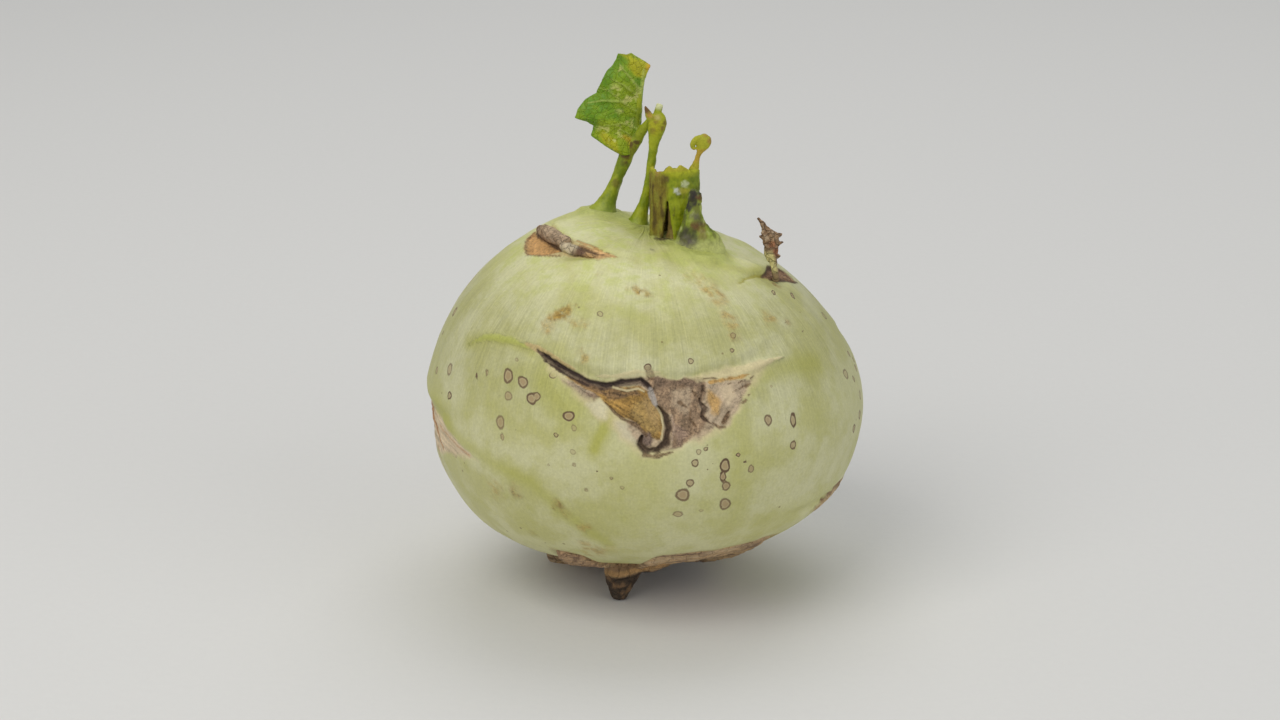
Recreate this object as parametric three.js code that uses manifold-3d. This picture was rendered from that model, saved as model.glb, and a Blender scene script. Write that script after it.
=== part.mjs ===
// A kohlrabi as picked: the swollen pale green stem, its woody root crown with the cut taproot,
// and what is left of its leaves. Millimetres, +Z up. The origin is on the surface that it rests
// on, under the middle of the bulb; -Y is its front, with the large leaf scar, and +X its right.

import * as THREE from "three";
import { mergeVertices } from "three/addons/utils/BufferGeometryUtils.js";
import Module from "manifold-3d";

const wasm = await Module();
wasm.setup();

const { cos, sin, abs, exp, max, PI } = Math;
const TURN = 2 * PI;
const degrees = THREE.MathUtils.degToRad;
const smooth = THREE.MathUtils.smoothstep;

// ---- Driving dimensions ----

const CENTRE_HEIGHT = 44.8; // the bulb's middle above the surface
const SKIN_RADIUS = 46; // mean distance from the middle to the skin
const GAP = 0.35; // what is left between the bulb and a piece that grows on it
const BLADE_THICKNESS = 0.8;

// The distance from the bulb's middle to its skin, every 22.5 degrees from the crown down to the
// base, on each of its four sides. The first and last are the crown and the base itself.
const SIDE = {
  right: [35.1, 35.8, 38.4, 42.4, 47.3, 47.5, 43.7, 40.3, 36.4],
  back: [35.1, 37.6, 40.4, 44.2, 46.6, 46.6, 43.6, 39.6, 36.4],
  left: [35.1, 40.6, 42.6, 45.4, 47.4, 47.6, 45.1, 37.2, 36.4],
  front: [35.1, 37.0, 40.8, 44.6, 46.7, 46.1, 42.2, 37.8, 36.4],
};

// Leaf scars, which spiral down the bulb. `round` and `down` are degrees round from +X and down
// from the crown, at the middle of the scar's upper edge. `half` is half its width, `tall` how far
// it reaches below that edge, `depth` how far it is sunk there, and `lift` how far its ends turn
// up, all in millimetres. `tilt` turns it, in degrees, right end down.
const SCARS = [
  { round: -88, down: 70, half: 25, tall: 17, depth: 2.2, lift: 3.2, tilt: 0 },
  { round: -150, down: 31, half: 15, tall: 7, depth: 1.2, lift: 2.0, tilt: 0 },
  { round: -16, down: 44, half: 11, tall: 7, depth: 1.2, lift: 1.5, tilt: 20 },
  { round: -178, down: 90, half: 19, tall: 13, depth: 1.2, lift: 2.5, tilt: 6 },
  { round: -34, down: 113, half: 9, tall: 5, depth: 0.8, lift: 1.5, tilt: -10 },
  { round: 122, down: 56, half: 17, tall: 9, depth: 1.3, lift: 2.4, tilt: 0 },
  { round: 42, down: 79, half: 21, tall: 14, depth: 1.8, lift: 3.0, tilt: -4 },
  { round: 98, down: 112, half: 14, tall: 7, depth: 1.0, lift: 2.0, tilt: 5 },
];
const EDGE_BLUR = 2; // mm over which a scar's upper edge steps down
const BROW_SHARE = 0.5; // height of the brow over a scar, as a share of its depth
const BROW_WIDTH = 4;

// The root crown: a woody crust over the bulb's base, with three stumps that it rests on. Each
// point is [x, y, z, half width, half depth], round where it has no depth of its own. The surface
// that it rests on cuts the stumps off flat.
const CRUST_THICKNESS = 2.2;
const CRUST_EDGE = 152; // degrees down from the crown, on average
const CRUST_LOBES = [
  { lobes: 1, reach: 4, turn: 150 },
  { lobes: 5, reach: 2.2, turn: 200 },
  { lobes: 9, reach: 1.1, turn: 80 },
];
const TAPROOT = [
  [-3.5, -9.0, 12, 7],
  [-5.2, -12.8, 7.0, 4.2],
  [-5.6, -14.2, 3.0, 2.5],
  [-5.6, -14.8, -1.5, 1.3],
];
const LEFT_STUMP = [
  [-12.0, 4.0, 12, 7.5, 6.0],
  [-15.0, 5.5, 6.0, 6.2, 4.4],
  [-16.0, 6.5, 2.5, 5.4, 3.4],
  [-16.2, 6.9, -1.5, 4.6, 2.8],
];
const RIGHT_STUMP = [
  [12, 11, 13, 6.5],
  [16.2, 15.4, 6.5, 4.6],
  [18.4, 17.8, 2.5, 3.4],
  [19.0, 18.4, -1.5, 2.4],
];

// Leaf stalks, each point [x, y, z, half width, half depth] along the middle.
const LEFT_STALK = [
  [-8.9, 5.0, 79.5, 3.4, 3.2],
  [-8.3, 5.3, 83.0, 2.2, 2.2],
  [-7.0, 5.7, 87.0, 1.8, 1.8],
  [-5.5, 6.0, 91.5, 1.7, 1.6],
  [-4.0, 6.0, 96.0, 1.6, 1.3],
  [-2.3, 6.0, 100.0, 1.0, 1.0],
  [-1.6, 6.0, 105.0, 0.75, 0.85],
  [-1.1, 6.0, 110.0, 0.6, 0.7],
  [-0.3, 6.0, 114.0, 0.45, 0.55],
];
const MIDDLE_STALK = [
  [-1.9, 1.7, 78.5, 3.6, 3.4],
  [-1.4, 1.6, 82.3, 2.3, 2.2],
  [-0.5, 1.6, 86.5, 1.4, 1.4],
  [0.5, 1.5, 91.0, 1.2, 1.2],
  [1.1, 1.5, 97.0, 1.15, 1.15],
  [1.7, 1.5, 100.6, 1.5, 1.3],
  [2.0, 1.5, 103.6, 1.9, 1.5],
  [1.9, 1.5, 105.3, 1.1, 0.9],
];
const MIDDLE_STALK_POINT = [
  [1.4, 1.5, 103.4, 1.1, 0.9],
  [0.5, 1.5, 105.4, 0.7, 0.6],
  [-0.1, 1.5, 106.9, 0.35, 0.35],
];
const MIDDLE_STALK_STUB = [
  [2.0, 1.5, 104.0, 0.8, 0.8],
  [2.7, 1.5, 106.0, 0.8, 0.8],
  [3.1, 1.5, 107.6, 0.9, 0.8],
];
const SHORT_STALK = [
  [12.4, -10.2, 75.0, 4.6, 3.6],
  [11.8, -10.0, 79.5, 3.2, 2.7],
  [11.3, -9.9, 82.5, 2.3, 2.1],
  [10.9, -9.6, 86.0, 2.0, 1.6],
  [10.9, -9.3, 89.3, 1.5, 1.2],
  [10.9, -9.2, 91.0, 1.0, 0.9],
];
const DRIED_STALK = [
  [27.6, -6.9, 70.5, 2.6, 2.0],
  [27.1, -6.4, 74.0, 1.9, 1.4],
  [26.7, -5.6, 77.0, 1.8, 1.1],
  [26.2, -5.2, 79.8, 1.7, 1.0],
  [25.3, -5.0, 82.0, 1.0, 0.8],
  [24.1, -5.0, 83.8, 0.35, 0.35],
];
const DRIED_STALK_BARBS = [
  [
    [26.6, -5.6, 77.0, 1.0, 0.8],
    [27.5, -5.5, 78.8, 0.7, 0.6],
    [28.2, -5.4, 80.2, 0.35, 0.35],
  ],
  [
    [27.0, -5.8, 75.6, 1.0, 0.8],
    [28.2, -5.6, 76.9, 0.7, 0.6],
    [29.2, -5.4, 78.3, 0.35, 0.35],
  ],
];

// The left leaf's blade, from its foot up: [height, left edge, right edge, reach of the half that
// is folded back]. The edges are distances from the middle of the bulb, the reach is from the fold.
const LEAF = [
  [95.4, -5.4, -2.8, 1.0],
  [97.4, -8.9, -1.9, 3.0],
  [99.3, -11.5, -0.8, 5.0],
  [100.7, -11.3, 0.0, 6.4],
  [101.7, -11.2, -1.1, 7.2],
  [102.6, -12.6, -1.0, 8.0],
  [103.5, -15.2, -1.0, 8.6],
  [105.2, -14.6, -0.9, 9.0],
  [107.4, -12.9, -0.8, 8.4],
  [108.9, -11.1, -0.7, 7.6],
  [111.8, -9.3, -0.3, 6.2],
  [113.6, -8.4, 0.4, 5.6],
  [114.7, -7.9, 1.0, 5.0],
  [116.0, -7.1, -1.2, 3.4],
  [117.3, -6.3, -3.2, 1.2],
];
const LEAF_DEPTH = 6; // the fold's distance behind the middle of the bulb
const LEAF_BULGE = 1.3; // how far the blade's left half bows forward
const LEAF_WAVE = 0.5;
const FOLD_LEAN = -0.35; // sideways share of the folded half's run to the back
const FOLD_DROP = 0.37; // how much lower the folded half sits

// The torn sheath: an open wall round a hollow, slit at the front.
const SHEATH = {
  x: 6.3,
  y: -3.3,
  halfWidth: 4.5,
  halfDepth: 3.6,
  foot: 77,
  top: 94.4,
  thickness: 0.9,
  slitAtFoot: 34, // degrees to each side of the front
  slitAtTop: 12,
  ragged: 0.6,
};
const TENDRIL = [
  [10.2, -4.3, 92.0, 0.8, 0.7],
  [10.7, -4.7, 95.4, 0.6, 0.6],
  [10.9, -5.0, 98.3, 0.5, 0.5],
  [11.6, -5.0, 99.6, 1.0, 0.9],
  [12.4, -5.0, 100.8, 1.5, 1.1],
  [12.9, -5.0, 102.0, 1.0, 0.8],
];
const TENDRIL_CURL = [
  [12.0, -5.0, 100.9, 1.0, 0.8],
  [10.9, -5.0, 100.3, 0.8, 0.7],
  [10.3, -5.0, 99.5, 0.5, 0.5],
];

// The dried leaf base, which lies along the skin: [degrees round, degrees down, height of its
// middle over the skin, half width, half depth].
const DRIED_ROLL = [
  [171, 35.0, -0.2, 0.8, 0.8],
  [-177, 32.4, 0.3, 1.9, 1.4],
  [-161, 31.8, 0.4, 2.2, 1.5],
  [-147, 32.3, 0.4, 2.0, 1.5],
  [-136, 32.6, 0.4, 1.5, 1.2],
  [-126, 32.0, 0.4, 1.1, 1.0],
  [-118, 31.4, 0.2, 0.7, 0.8],
];
const DRIED_LIP = [
  [-173, 35.8, 0.0, 1.4, 0.9],
  [-163, 37.2, 0.1, 1.9, 1.0],
  [-152, 36.2, 0.1, 1.8, 1.0],
  [-143, 34.2, 0.1, 1.4, 0.9],
];

// ---- Surfaces and solids ----

// The geometry with nothing but positions, each of them once.
function merged(geometry) {
  geometry.deleteAttribute("normal");
  geometry.deleteAttribute("uv");
  return mergeVertices(geometry, 1e-3);
}

// The shape as a solid that manifold-3d can join and cut.
function solid(geometry) {
  return new wasm.Manifold(
    new wasm.Mesh({
      numProp: 3,
      vertProperties: new Float32Array(geometry.attributes.position.array),
      triVerts: new Uint32Array(geometry.index.array),
    }),
  );
}

function joined(first, ...others) {
  return others.reduce((whole, piece) => whole.add(piece), first);
}

// A mesh with the solid's shape, named and coloured.
function piece(name, shape, color, roughness) {
  const { vertProperties, triVerts } = shape.getMesh();
  const geometry = new THREE.BufferGeometry();
  geometry.setAttribute("position", new THREE.BufferAttribute(vertProperties, 3));
  geometry.setIndex(new THREE.BufferAttribute(triVerts, 1));
  geometry.computeVertexNormals();
  const material = new THREE.MeshStandardMaterial({ color, roughness, metalness: 0 });
  const mesh = new THREE.Mesh(geometry, material);
  mesh.name = name;
  return mesh;
}

// A closed surface from points and triangles, given as [x, y, z] and as [i, j, k].
function closedSurface(points, triangles) {
  const geometry = new THREE.BufferGeometry();
  geometry.setAttribute("position", new THREE.Float32BufferAttribute(points.flat(), 3));
  geometry.setIndex(triangles.flat());
  return geometry;
}

const STALK_SIDES = 10;
const STALK_STEPS = 3; // rings for each stretch between two points

// A closed stalk that swells and thins along a smooth line through its points, each [x, y, z,
// half width, half depth]. Its width is measured square to `back`, a direction that it never takes.
function stalk(stations, { sides = STALK_SIDES, back = new THREE.Vector3(0, 1, 0) } = {}) {
  const line = new THREE.CatmullRomCurve3(stations.map(([x, y, z]) => new THREE.Vector3(x, y, z)));
  const sizes = stations.map(([, , , width, depth]) => new THREE.Vector3(width, depth ?? width, 0));
  const size = new THREE.CatmullRomCurve3(sizes);
  const rings = (stations.length - 1) * STALK_STEPS;
  const points = [];
  const triangles = [];
  for (let ring = 0; ring <= rings; ring++) {
    const along = ring / rings;
    const middle = line.getPoint(along);
    const wide = new THREE.Vector3().crossVectors(line.getTangent(along), back).normalize();
    const deep = new THREE.Vector3().crossVectors(wide, line.getTangent(along)).normalize();
    const { x: width, y: depth } = size.getPoint(along);
    for (let side = 0; side < sides; side++) {
      const turn = (TURN * side) / sides;
      const point = middle
        .clone()
        .addScaledVector(wide, width * cos(turn))
        .addScaledVector(deep, -depth * sin(turn));
      points.push(point.toArray());
    }
  }
  const at = (ring, side) => ring * sides + (side % sides);
  for (let ring = 0; ring < rings; ring++) {
    for (let side = 0; side < sides; side++) {
      triangles.push([at(ring, side), at(ring, side + 1), at(ring + 1, side + 1)]);
      triangles.push([at(ring, side), at(ring + 1, side + 1), at(ring + 1, side)]);
    }
  }
  for (let side = 1; side < sides - 1; side++) {
    triangles.push([at(0, 0), at(0, side + 1), at(0, side)]);
    triangles.push([at(rings, 0), at(rings, side), at(rings, side + 1)]);
  }
  return solid(closedSurface(points, triangles));
}

// A closed sheet of even thickness. middle(i, j) is a point of its middle surface, for `along` by
// `across` steps. Both faces are split into the same triangles.
function sheet(middle, along, across, thickness) {
  const at = (i, j) => i * (across + 1) + j;
  const faces = [[], []];
  for (let i = 0; i <= along; i++) {
    for (let j = 0; j <= across; j++) {
      const up = middle(Math.min(i + 1, along), j).sub(middle(max(i - 1, 0), j));
      const over = middle(i, Math.min(j + 1, across)).sub(middle(i, max(j - 1, 0)));
      const normal = up.cross(over).normalize();
      for (const [face, sign] of [[0, 1], [1, -1]]) {
        const point = middle(i, j).addScaledVector(normal, (sign * thickness) / 2);
        faces[face].push(point.toArray());
      }
    }
  }
  const points = faces.flat();
  const under = faces[0].length;
  const triangles = [];
  for (let i = 0; i < along; i++) {
    for (let j = 0; j < across; j++) {
      const [a, b, c, d] = [at(i, j), at(i + 1, j), at(i + 1, j + 1), at(i, j + 1)];
      triangles.push([a, b, c], [a, c, d]);
      triangles.push([under + a, under + c, under + b], [under + a, under + d, under + c]);
    }
  }
  const rim = [];
  for (let i = 0; i < along; i++) rim.push(at(i, 0));
  for (let j = 0; j < across; j++) rim.push(at(along, j));
  for (let i = along; i > 0; i--) rim.push(at(i, across));
  for (let j = across; j > 0; j--) rim.push(at(0, j));
  rim.forEach((p, n) => {
    const q = rim[(n + 1) % rim.length];
    triangles.push([q, p, under + p], [q, under + p, under + q]);
  });
  return solid(closedSurface(points, triangles));
}

// ---- The bulb's skin ----

// A smooth curve through a side's distances. Past each end it goes on down the opposite side.
function alongSide(side, opposite, step) {
  const last = side.length - 1;
  const at = (i) => (i < 0 ? opposite[-i] : i > last ? opposite[2 * last - i] : side[i]);
  const i = Math.min(Math.floor(step), last - 1);
  const f = step - i;
  const [a, b, c, d] = [at(i - 1), at(i), at(i + 1), at(i + 2)];
  return b + 0.5 * f * (c - a + f * (2 * a - 5 * b + 4 * c - d + f * (3 * (b - c) + d - a)));
}

// The distance to the skin, without its scars, at an azimuth from +X and an angle from the crown.
function smoothRadius(azimuth, polar) {
  const step = (polar / PI) * (SIDE.right.length - 1);
  const right = alongSide(SIDE.right, SIDE.left, step);
  const left = alongSide(SIDE.left, SIDE.right, step);
  const back = alongSide(SIDE.back, SIDE.front, step);
  const front = alongSide(SIDE.front, SIDE.back, step);
  return (
    (right + left + back + front) / 4 +
    ((right - left) / 2) * cos(azimuth) +
    ((back - front) / 2) * sin(azimuth) +
    ((right + left - back - front) / 4) * cos(2 * azimuth)
  );
}

// How far a leaf scar raises the skin at a place: a brow over its upper edge, then a step down
// into a hollow that runs out at its lower edge. Past the scar's ends both fade out.
function scarRise(scar, azimuth, polar) {
  const turned = azimuth - degrees(scar.round);
  const aside = SKIN_RADIUS * sin(polar) * Math.atan2(sin(turned), cos(turned));
  const above = SKIN_RADIUS * (degrees(scar.down) - polar);
  const tilt = degrees(scar.tilt);
  const across = aside * cos(tilt) - above * sin(tilt);
  const up = aside * sin(tilt) + above * cos(tilt);
  const share = across / scar.half;
  const below = scar.lift * share ** 2 - up;
  const tall = scar.tall * max(0.15, 1 - share ** 2);
  const brow = BROW_SHARE * scar.depth * exp(-((below / BROW_WIDTH) ** 2));
  const hollow = -scar.depth * max(0, 1 - below / tall);
  const sunk = smooth(below, -EDGE_BLUR, EDGE_BLUR);
  return exp(-(share ** 4) / 1.5) * (brow * (1 - sunk) + hollow * sunk);
}

function skinRadius(azimuth, polar) {
  const rises = SCARS.map((scar) => scarRise(scar, azimuth, polar));
  return rises.reduce((sum, rise) => sum + rise, smoothRadius(azimuth, polar));
}

function onSkin(azimuth, polar, height) {
  const r = skinRadius(azimuth, polar) + height;
  return new THREE.Vector3(
    r * sin(polar) * cos(azimuth),
    r * sin(polar) * sin(azimuth),
    r * cos(polar) + CENTRE_HEIGHT,
  );
}

const CRUST_COLUMNS = 44;
const CRUST_ROWS = 22;
const STUMP_SIDES = 14;
const BULB_COLUMNS = 80;
const BULB_ROWS = 42;
const FRONT_CROWDING = 0.5; // share by which columns stand closer at the front, with its large scar
const WAIST_CROWDING = 0.05; // and rows round the waist

// A closed surface at an even height over the skin.
function overSkin(height) {
  const geometry = new THREE.SphereGeometry(1, BULB_COLUMNS, BULB_ROWS);
  const { position, uv } = geometry.attributes;
  for (let i = 0; i < position.count; i++) {
    const round = TURN * (uv.getX(i) - 0.25);
    const azimuth = -PI / 2 + round - FRONT_CROWDING * sin(round);
    const down = 1 - uv.getY(i);
    const polar = PI * (down + WAIST_CROWDING * sin(TURN * down));
    const point = onSkin(azimuth, polar, height);
    position.setXYZ(i, point.x, point.y, point.z);
  }
  return merged(geometry);
}

const bulbShape = solid(overSkin(0));
const clearOfBulb = solid(overSkin(GAP));

// ---- The pieces ----

// The lobed edge of the woody crust, as an angle from the crown.
function crustEdge(azimuth) {
  const waves = CRUST_LOBES.map((wave) => wave.reach * cos(wave.lobes * (azimuth - degrees(wave.turn))));
  return degrees(waves.reduce((sum, wave) => sum - wave, CRUST_EDGE));
}

// The woody crust over the bulb's base, thick in its middle and blunt at its edge. The upper half
// of a sphere becomes its inner face, the lower half its outer one, and the equator its edge.
function crust() {
  const geometry = new THREE.SphereGeometry(1, CRUST_COLUMNS, CRUST_ROWS);
  const { position, uv } = geometry.attributes;
  for (let i = 0; i < position.count; i++) {
    const azimuth = TURN * uv.getX(i);
    const inward = abs(1 - 2 * uv.getY(i)); // 0 at the edge, 1 at the base
    const edge = crustEdge(azimuth);
    const thick = uv.getY(i) < 0.5 ? CRUST_THICKNESS * Math.sqrt(1 - (1 - inward) ** 2) : 0;
    const point = onSkin(azimuth, edge + (PI - edge) * inward, GAP + thick);
    position.setXYZ(i, point.x, point.y, point.z);
  }
  return solid(merged(geometry));
}

function rootBase() {
  const sides = STUMP_SIDES;
  const stumps = [TAPROOT, LEFT_STUMP, RIGHT_STUMP].map((stump) => stalk(stump, { sides }));
  const rooted = joined(...stumps).subtract(solid(overSkin(CRUST_THICKNESS / 2)));
  const ground = new THREE.BoxGeometry(200, 200, 20).translate(0, 0, -10);
  return crust().add(rooted).subtract(solid(merged(ground)));
}

// The fold's distance to the side at the height of a row of LEAF.
function foldAside(height) {
  const above = LEFT_STALK.findIndex(([, , z]) => z > height);
  const n = above < 0 ? LEFT_STALK.length - 1 : above;
  const [[x0, , z0], [x1, , z1]] = [LEFT_STALK[n - 1], LEFT_STALK[n]];
  return THREE.MathUtils.mapLinear(height, z0, z1, x0, x1);
}

function leafBlade() {
  const [steps, folds] = [7, 5];
  const facing = (i, j) => {
    const [height, left, right] = LEAF[i];
    const share = j / steps;
    const x = left + (right - left) * share;
    const bow = LEAF_BULGE * sin(PI * share) + LEAF_WAVE * (1 - share) * sin(0.8 * height);
    return new THREE.Vector3(x, LEAF_DEPTH - bow, height);
  };
  const folded = (i, j) => {
    const [height, , , reach] = LEAF[i];
    const share = j / folds;
    const wave = LEAF_WAVE * share * cos(0.9 * height);
    const fold = Math.min(foldAside(height), LEAF[i][2]);
    return new THREE.Vector3(
      fold + FOLD_LEAN * reach * share + wave,
      LEAF_DEPTH + reach * share,
      height - FOLD_DROP,
    );
  };
  const rows = LEAF.length - 1;
  return joined(
    sheet(facing, rows, steps, BLADE_THICKNESS),
    sheet(folded, rows, folds, BLADE_THICKNESS),
  );
}

function leafStem() {
  return joined(stalk(LEFT_STALK), leafBlade()).subtract(clearOfBulb);
}

function middlePetiole() {
  const parts = [MIDDLE_STALK, MIDDLE_STALK_POINT, MIDDLE_STALK_STUB];
  const stalks = parts.map((stations) => stalk(stations));
  return joined(...stalks).subtract(clearOfBulb);
}

function tornSheath() {
  const [rows, columns] = [6, 16];
  const wall = (i, j) => {
    const share = i / rows;
    const slit = THREE.MathUtils.lerp(SHEATH.slitAtFoot, SHEATH.slitAtTop, share);
    const turn = degrees(THREE.MathUtils.lerp(-90 + slit, 270 - slit, j / columns));
    const ragged = SHEATH.ragged * share * sin(4 * turn);
    return new THREE.Vector3(
      SHEATH.x + SHEATH.halfWidth * cos(turn),
      SHEATH.y + SHEATH.halfDepth * sin(turn),
      THREE.MathUtils.lerp(SHEATH.foot, SHEATH.top, share) + ragged,
    );
  };
  return joined(
    sheet(wall, rows, columns, SHEATH.thickness),
    stalk(TENDRIL),
    stalk(TENDRIL_CURL),
  ).subtract(clearOfBulb);
}

function driedPetiole() {
  const stalks = [DRIED_STALK, ...DRIED_STALK_BARBS].map((stations) => stalk(stations));
  return joined(...stalks).subtract(clearOfBulb);
}

function driedLeafBase() {
  const alongSkin = ([round, down, height, width, depth]) => {
    const point = onSkin(degrees(round), degrees(down), height);
    return [...point.toArray(), width, depth];
  };
  const [round, down] = DRIED_ROLL[3];
  const back = onSkin(degrees(round), degrees(down), 0);
  back.z -= CENTRE_HEIGHT;
  back.normalize();
  const rolls = [DRIED_ROLL, DRIED_LIP].map((roll) => stalk(roll.map(alongSkin), { back }));
  return joined(...rolls).subtract(clearOfBulb);
}

const kohlrabi = new THREE.Group();
kohlrabi.add(
  piece("bulb", bulbShape, 0xb9b78a, 0.6),
  piece("root_base", rootBase(), 0x6f5841, 0.9),
  piece("leaf_stem_left", leafStem(), 0x6b831d, 0.5),
  piece("petiole_middle", middlePetiole(), 0x7f8425, 0.5),
  piece("torn_sheath", tornSheath(), 0x8a8a35, 0.6),
  piece("petiole_short", stalk(SHORT_STALK).subtract(clearOfBulb), 0x7c8042, 0.6),
  piece("dried_petiole_right", driedPetiole(), 0x9b7a55, 0.85),
  piece("dried_leaf_base_left", driedLeafBase(), 0xa07c55, 0.85),
);

export default kohlrabi;
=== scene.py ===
"""A kohlrabi with its torn leaf stalks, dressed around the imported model.

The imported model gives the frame: metres, +Z up, the origin on the surface under the bulb. The
sizes below are in millimetres, and every mesh is made in metres when it is added to the scene.
"""

from __future__ import annotations

import logging
import math
from abc import ABC, abstractmethod
from dataclasses import dataclass, field
from enum import Enum
from typing import Callable, Iterable, Sequence

import bpy
import numpy as np
from mathutils import Matrix, Vector


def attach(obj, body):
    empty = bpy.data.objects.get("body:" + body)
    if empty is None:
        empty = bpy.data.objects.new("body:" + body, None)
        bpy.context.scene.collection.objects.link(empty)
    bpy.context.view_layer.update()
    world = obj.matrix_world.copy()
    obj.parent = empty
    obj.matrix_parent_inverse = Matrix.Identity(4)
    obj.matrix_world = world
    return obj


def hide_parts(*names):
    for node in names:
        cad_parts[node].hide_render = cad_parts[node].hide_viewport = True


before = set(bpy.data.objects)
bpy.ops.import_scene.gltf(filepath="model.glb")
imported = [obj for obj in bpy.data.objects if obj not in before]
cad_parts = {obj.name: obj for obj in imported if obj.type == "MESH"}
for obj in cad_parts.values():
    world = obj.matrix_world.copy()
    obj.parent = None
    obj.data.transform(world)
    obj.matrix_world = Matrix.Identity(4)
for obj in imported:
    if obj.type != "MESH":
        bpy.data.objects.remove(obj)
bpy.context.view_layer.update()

LOG = logging.getLogger("kohlrabi")
MM = 0.001

Array = np.ndarray
Colour = tuple[float, float, float]
Place = tuple[float, float]
Station = tuple[float, float, float, float, float]
Lumps = tuple[tuple[float, float], ...]
Piece = bpy.types.Object
Material = bpy.types.Material


def tone(red: int, green: int, blue: int) -> Colour:
    """The linear colour of a screen colour.

    Args:
        red: Red, 0 to 255.
        green: Green, 0 to 255.
        blue: Blue, 0 to 255.

    Returns:
        The same colour in linear light.
    """
    shares = (channel / 255 for channel in (red, green, blue))
    return tuple(s / 12.92 if s <= 0.04045 else ((s + 0.055) / 1.055) ** 2.4 for s in shares)


def smooth(low: float | Array, high: float | Array, value: Array) -> Array:
    """A smooth step.

    Args:
        low: Where the step starts.
        high: Where it ends.
        value: The values to step.

    Returns:
        0 below low, 1 above high, and an S curve between them.
    """
    share = np.clip((value - low) / (high - low), 0, 1)
    return share * share * (3 - 2 * share)


# ---- Noise and outlines ----


class Noise:
    """Smooth noise in space, the same on each run."""

    SIDE = 32

    def __init__(self, seed: int) -> None:
        """Fills the lattice.

        Args:
            seed: What the random values are drawn from.
        """
        self.lattice = np.random.default_rng(seed).uniform(-1, 1, (self.SIDE,) * 3)

    def plain(self, points: Array, size: float) -> Array:
        """One octave of noise.

        Args:
            points: Places, in millimetres.
            size: The width of a lump, in millimetres.

        Returns:
            A value from -1 to 1 at each place.
        """
        cell = points / size
        low = np.floor(cell).astype(int)
        share = cell - low
        share = share * share * (3 - 2 * share)
        total = np.zeros(len(points))
        for corner in np.ndindex(2, 2, 2):
            weight = np.prod(np.where(corner, share, 1 - share), axis=1)
            i, j, k = ((low + corner) % self.SIDE).T
            total += weight * self.lattice[i, j, k]
        return total

    def fractal(self, points: Array, size: float, octaves: int = 4) -> Array:
        """Several octaves of noise, each half as wide and half as strong.

        Args:
            points: Places, in millimetres.
            size: The width of the largest lumps, in millimetres.
            octaves: How many octaves are added.

        Returns:
            A value of about -1 to 1 at each place.
        """
        total = np.zeros(len(points))
        for octave in range(octaves):
            total += self.plain(points + 17.3 * octave, size / 2**octave) / 2**octave
        return total / 1.5


NOISE = Noise(seed=11)


def along_path(places: Array, path: Sequence[Place]) -> tuple[Array, Array]:
    """Distances from places to an open path.

    Args:
        places: N places on a plane.
        path: The path's points.

    Returns:
        The distance of each place, and how far along the path its nearest point is, from 0 to 1.
    """
    corners = np.asarray(path, float)
    nearest = np.full(len(places), np.inf)
    share = np.zeros(len(places))
    last = len(corners) - 1
    for n, (start, end) in enumerate(zip(corners[:-1], corners[1:])):
        run = end - start
        t = np.clip(((places - start) @ run) / max(run @ run, 1e-9), 0, 1)
        distance = np.linalg.norm(places - start - t[:, None] * run, axis=1)
        closer = distance < nearest
        nearest[closer] = distance[closer]
        share[closer] = (n + t[closer]) / last
    return nearest, share


def inside(places: Array, outline: Sequence[Place]) -> Array:
    """How deep places lie inside a closed outline.

    Args:
        places: N places on a plane.
        outline: The outline's corners.

    Returns:
        The distance of each place to the outline, negative outside it.
    """
    ring = [*outline, outline[0]]
    distance, _ = along_path(places, ring)
    x, y = places.T
    odd = np.zeros(len(places), bool)
    for (ax, ay), (bx, by) in zip(ring[:-1], ring[1:]):
        if ay != by:
            odd ^= ((ay > y) != (by > y)) & (x < (bx - ax) * (y - ay) / (by - ay) + ax)
    return np.where(odd, distance, -distance)


# ---- Paint: colour and relief laid over a surface ----


@dataclass
class Coat:
    """Colour, cover and height over the points of a surface."""

    points: Array
    colour: Array = field(init=False)
    cover: Array = field(init=False)
    height: Array = field(init=False)

    def __post_init__(self) -> None:
        """Starts with nothing laid."""
        count = len(self.points)
        self.colour = np.zeros((count, 3))
        self.cover = np.zeros(count)
        self.height = np.zeros(count)

    def lay(self, at: Array, share: Array, colour: Colour, mottle: float = 0.12) -> None:
        """Lays a colour over what is there.

        Args:
            at: The points that it touches, as indices.
            share: How much it hides what is under it at each of them.
            colour: Its linear colour.
            mottle: How far its brightness wanders.
        """
        wander = 1 + mottle * NOISE.fractal(self.points[at] + 50, 1.6, 3)
        paint = np.asarray(colour) * wander[:, None]
        under = self.cover[at] * (1 - share)
        self.cover[at] = under + share
        total = np.maximum(self.cover[at], 1e-6)[:, None]
        self.colour[at] = (self.colour[at] * under[:, None] + paint * share[:, None]) / total

    def wash(self, share: Array, colour: Colour, mottle: float = 0.12) -> None:
        """Lays a colour over every point.

        Args:
            share: How much it hides what is under it at each point.
            colour: Its linear colour.
            mottle: How far its brightness wanders.
        """
        self.lay(np.arange(len(self.points)), share, colour, mottle)

    def lay_all(self, layers: Sequence[Patch | Stroke], at: Array, places: Array) -> None:
        """Lays patches and strokes, the lowest first.

        Args:
            layers: What is laid.
            at: The points that they may touch, as indices.
            places: Where each point of the coat is, across and up.
        """
        for layer in layers:
            layer.lay(self, at, places[at])

    def stain(self, blots: Iterable[Blot]) -> None:
        """Lays stains, the lowest first.

        Args:
            blots: The stains.
        """
        for blot in blots:
            blot.lay(self)


@dataclass
class SkinCoat(Coat):
    """Paint over the bulb, whose points are also given as radians round and radians down."""

    azimuth: Array
    polar: Array


def close_to_middle(places: Array, reach: float) -> Array:
    """The indices of the places that lie within a reach of the middle, to each side."""
    return np.nonzero(np.max(np.abs(places), axis=1) < reach)[0]


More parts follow.
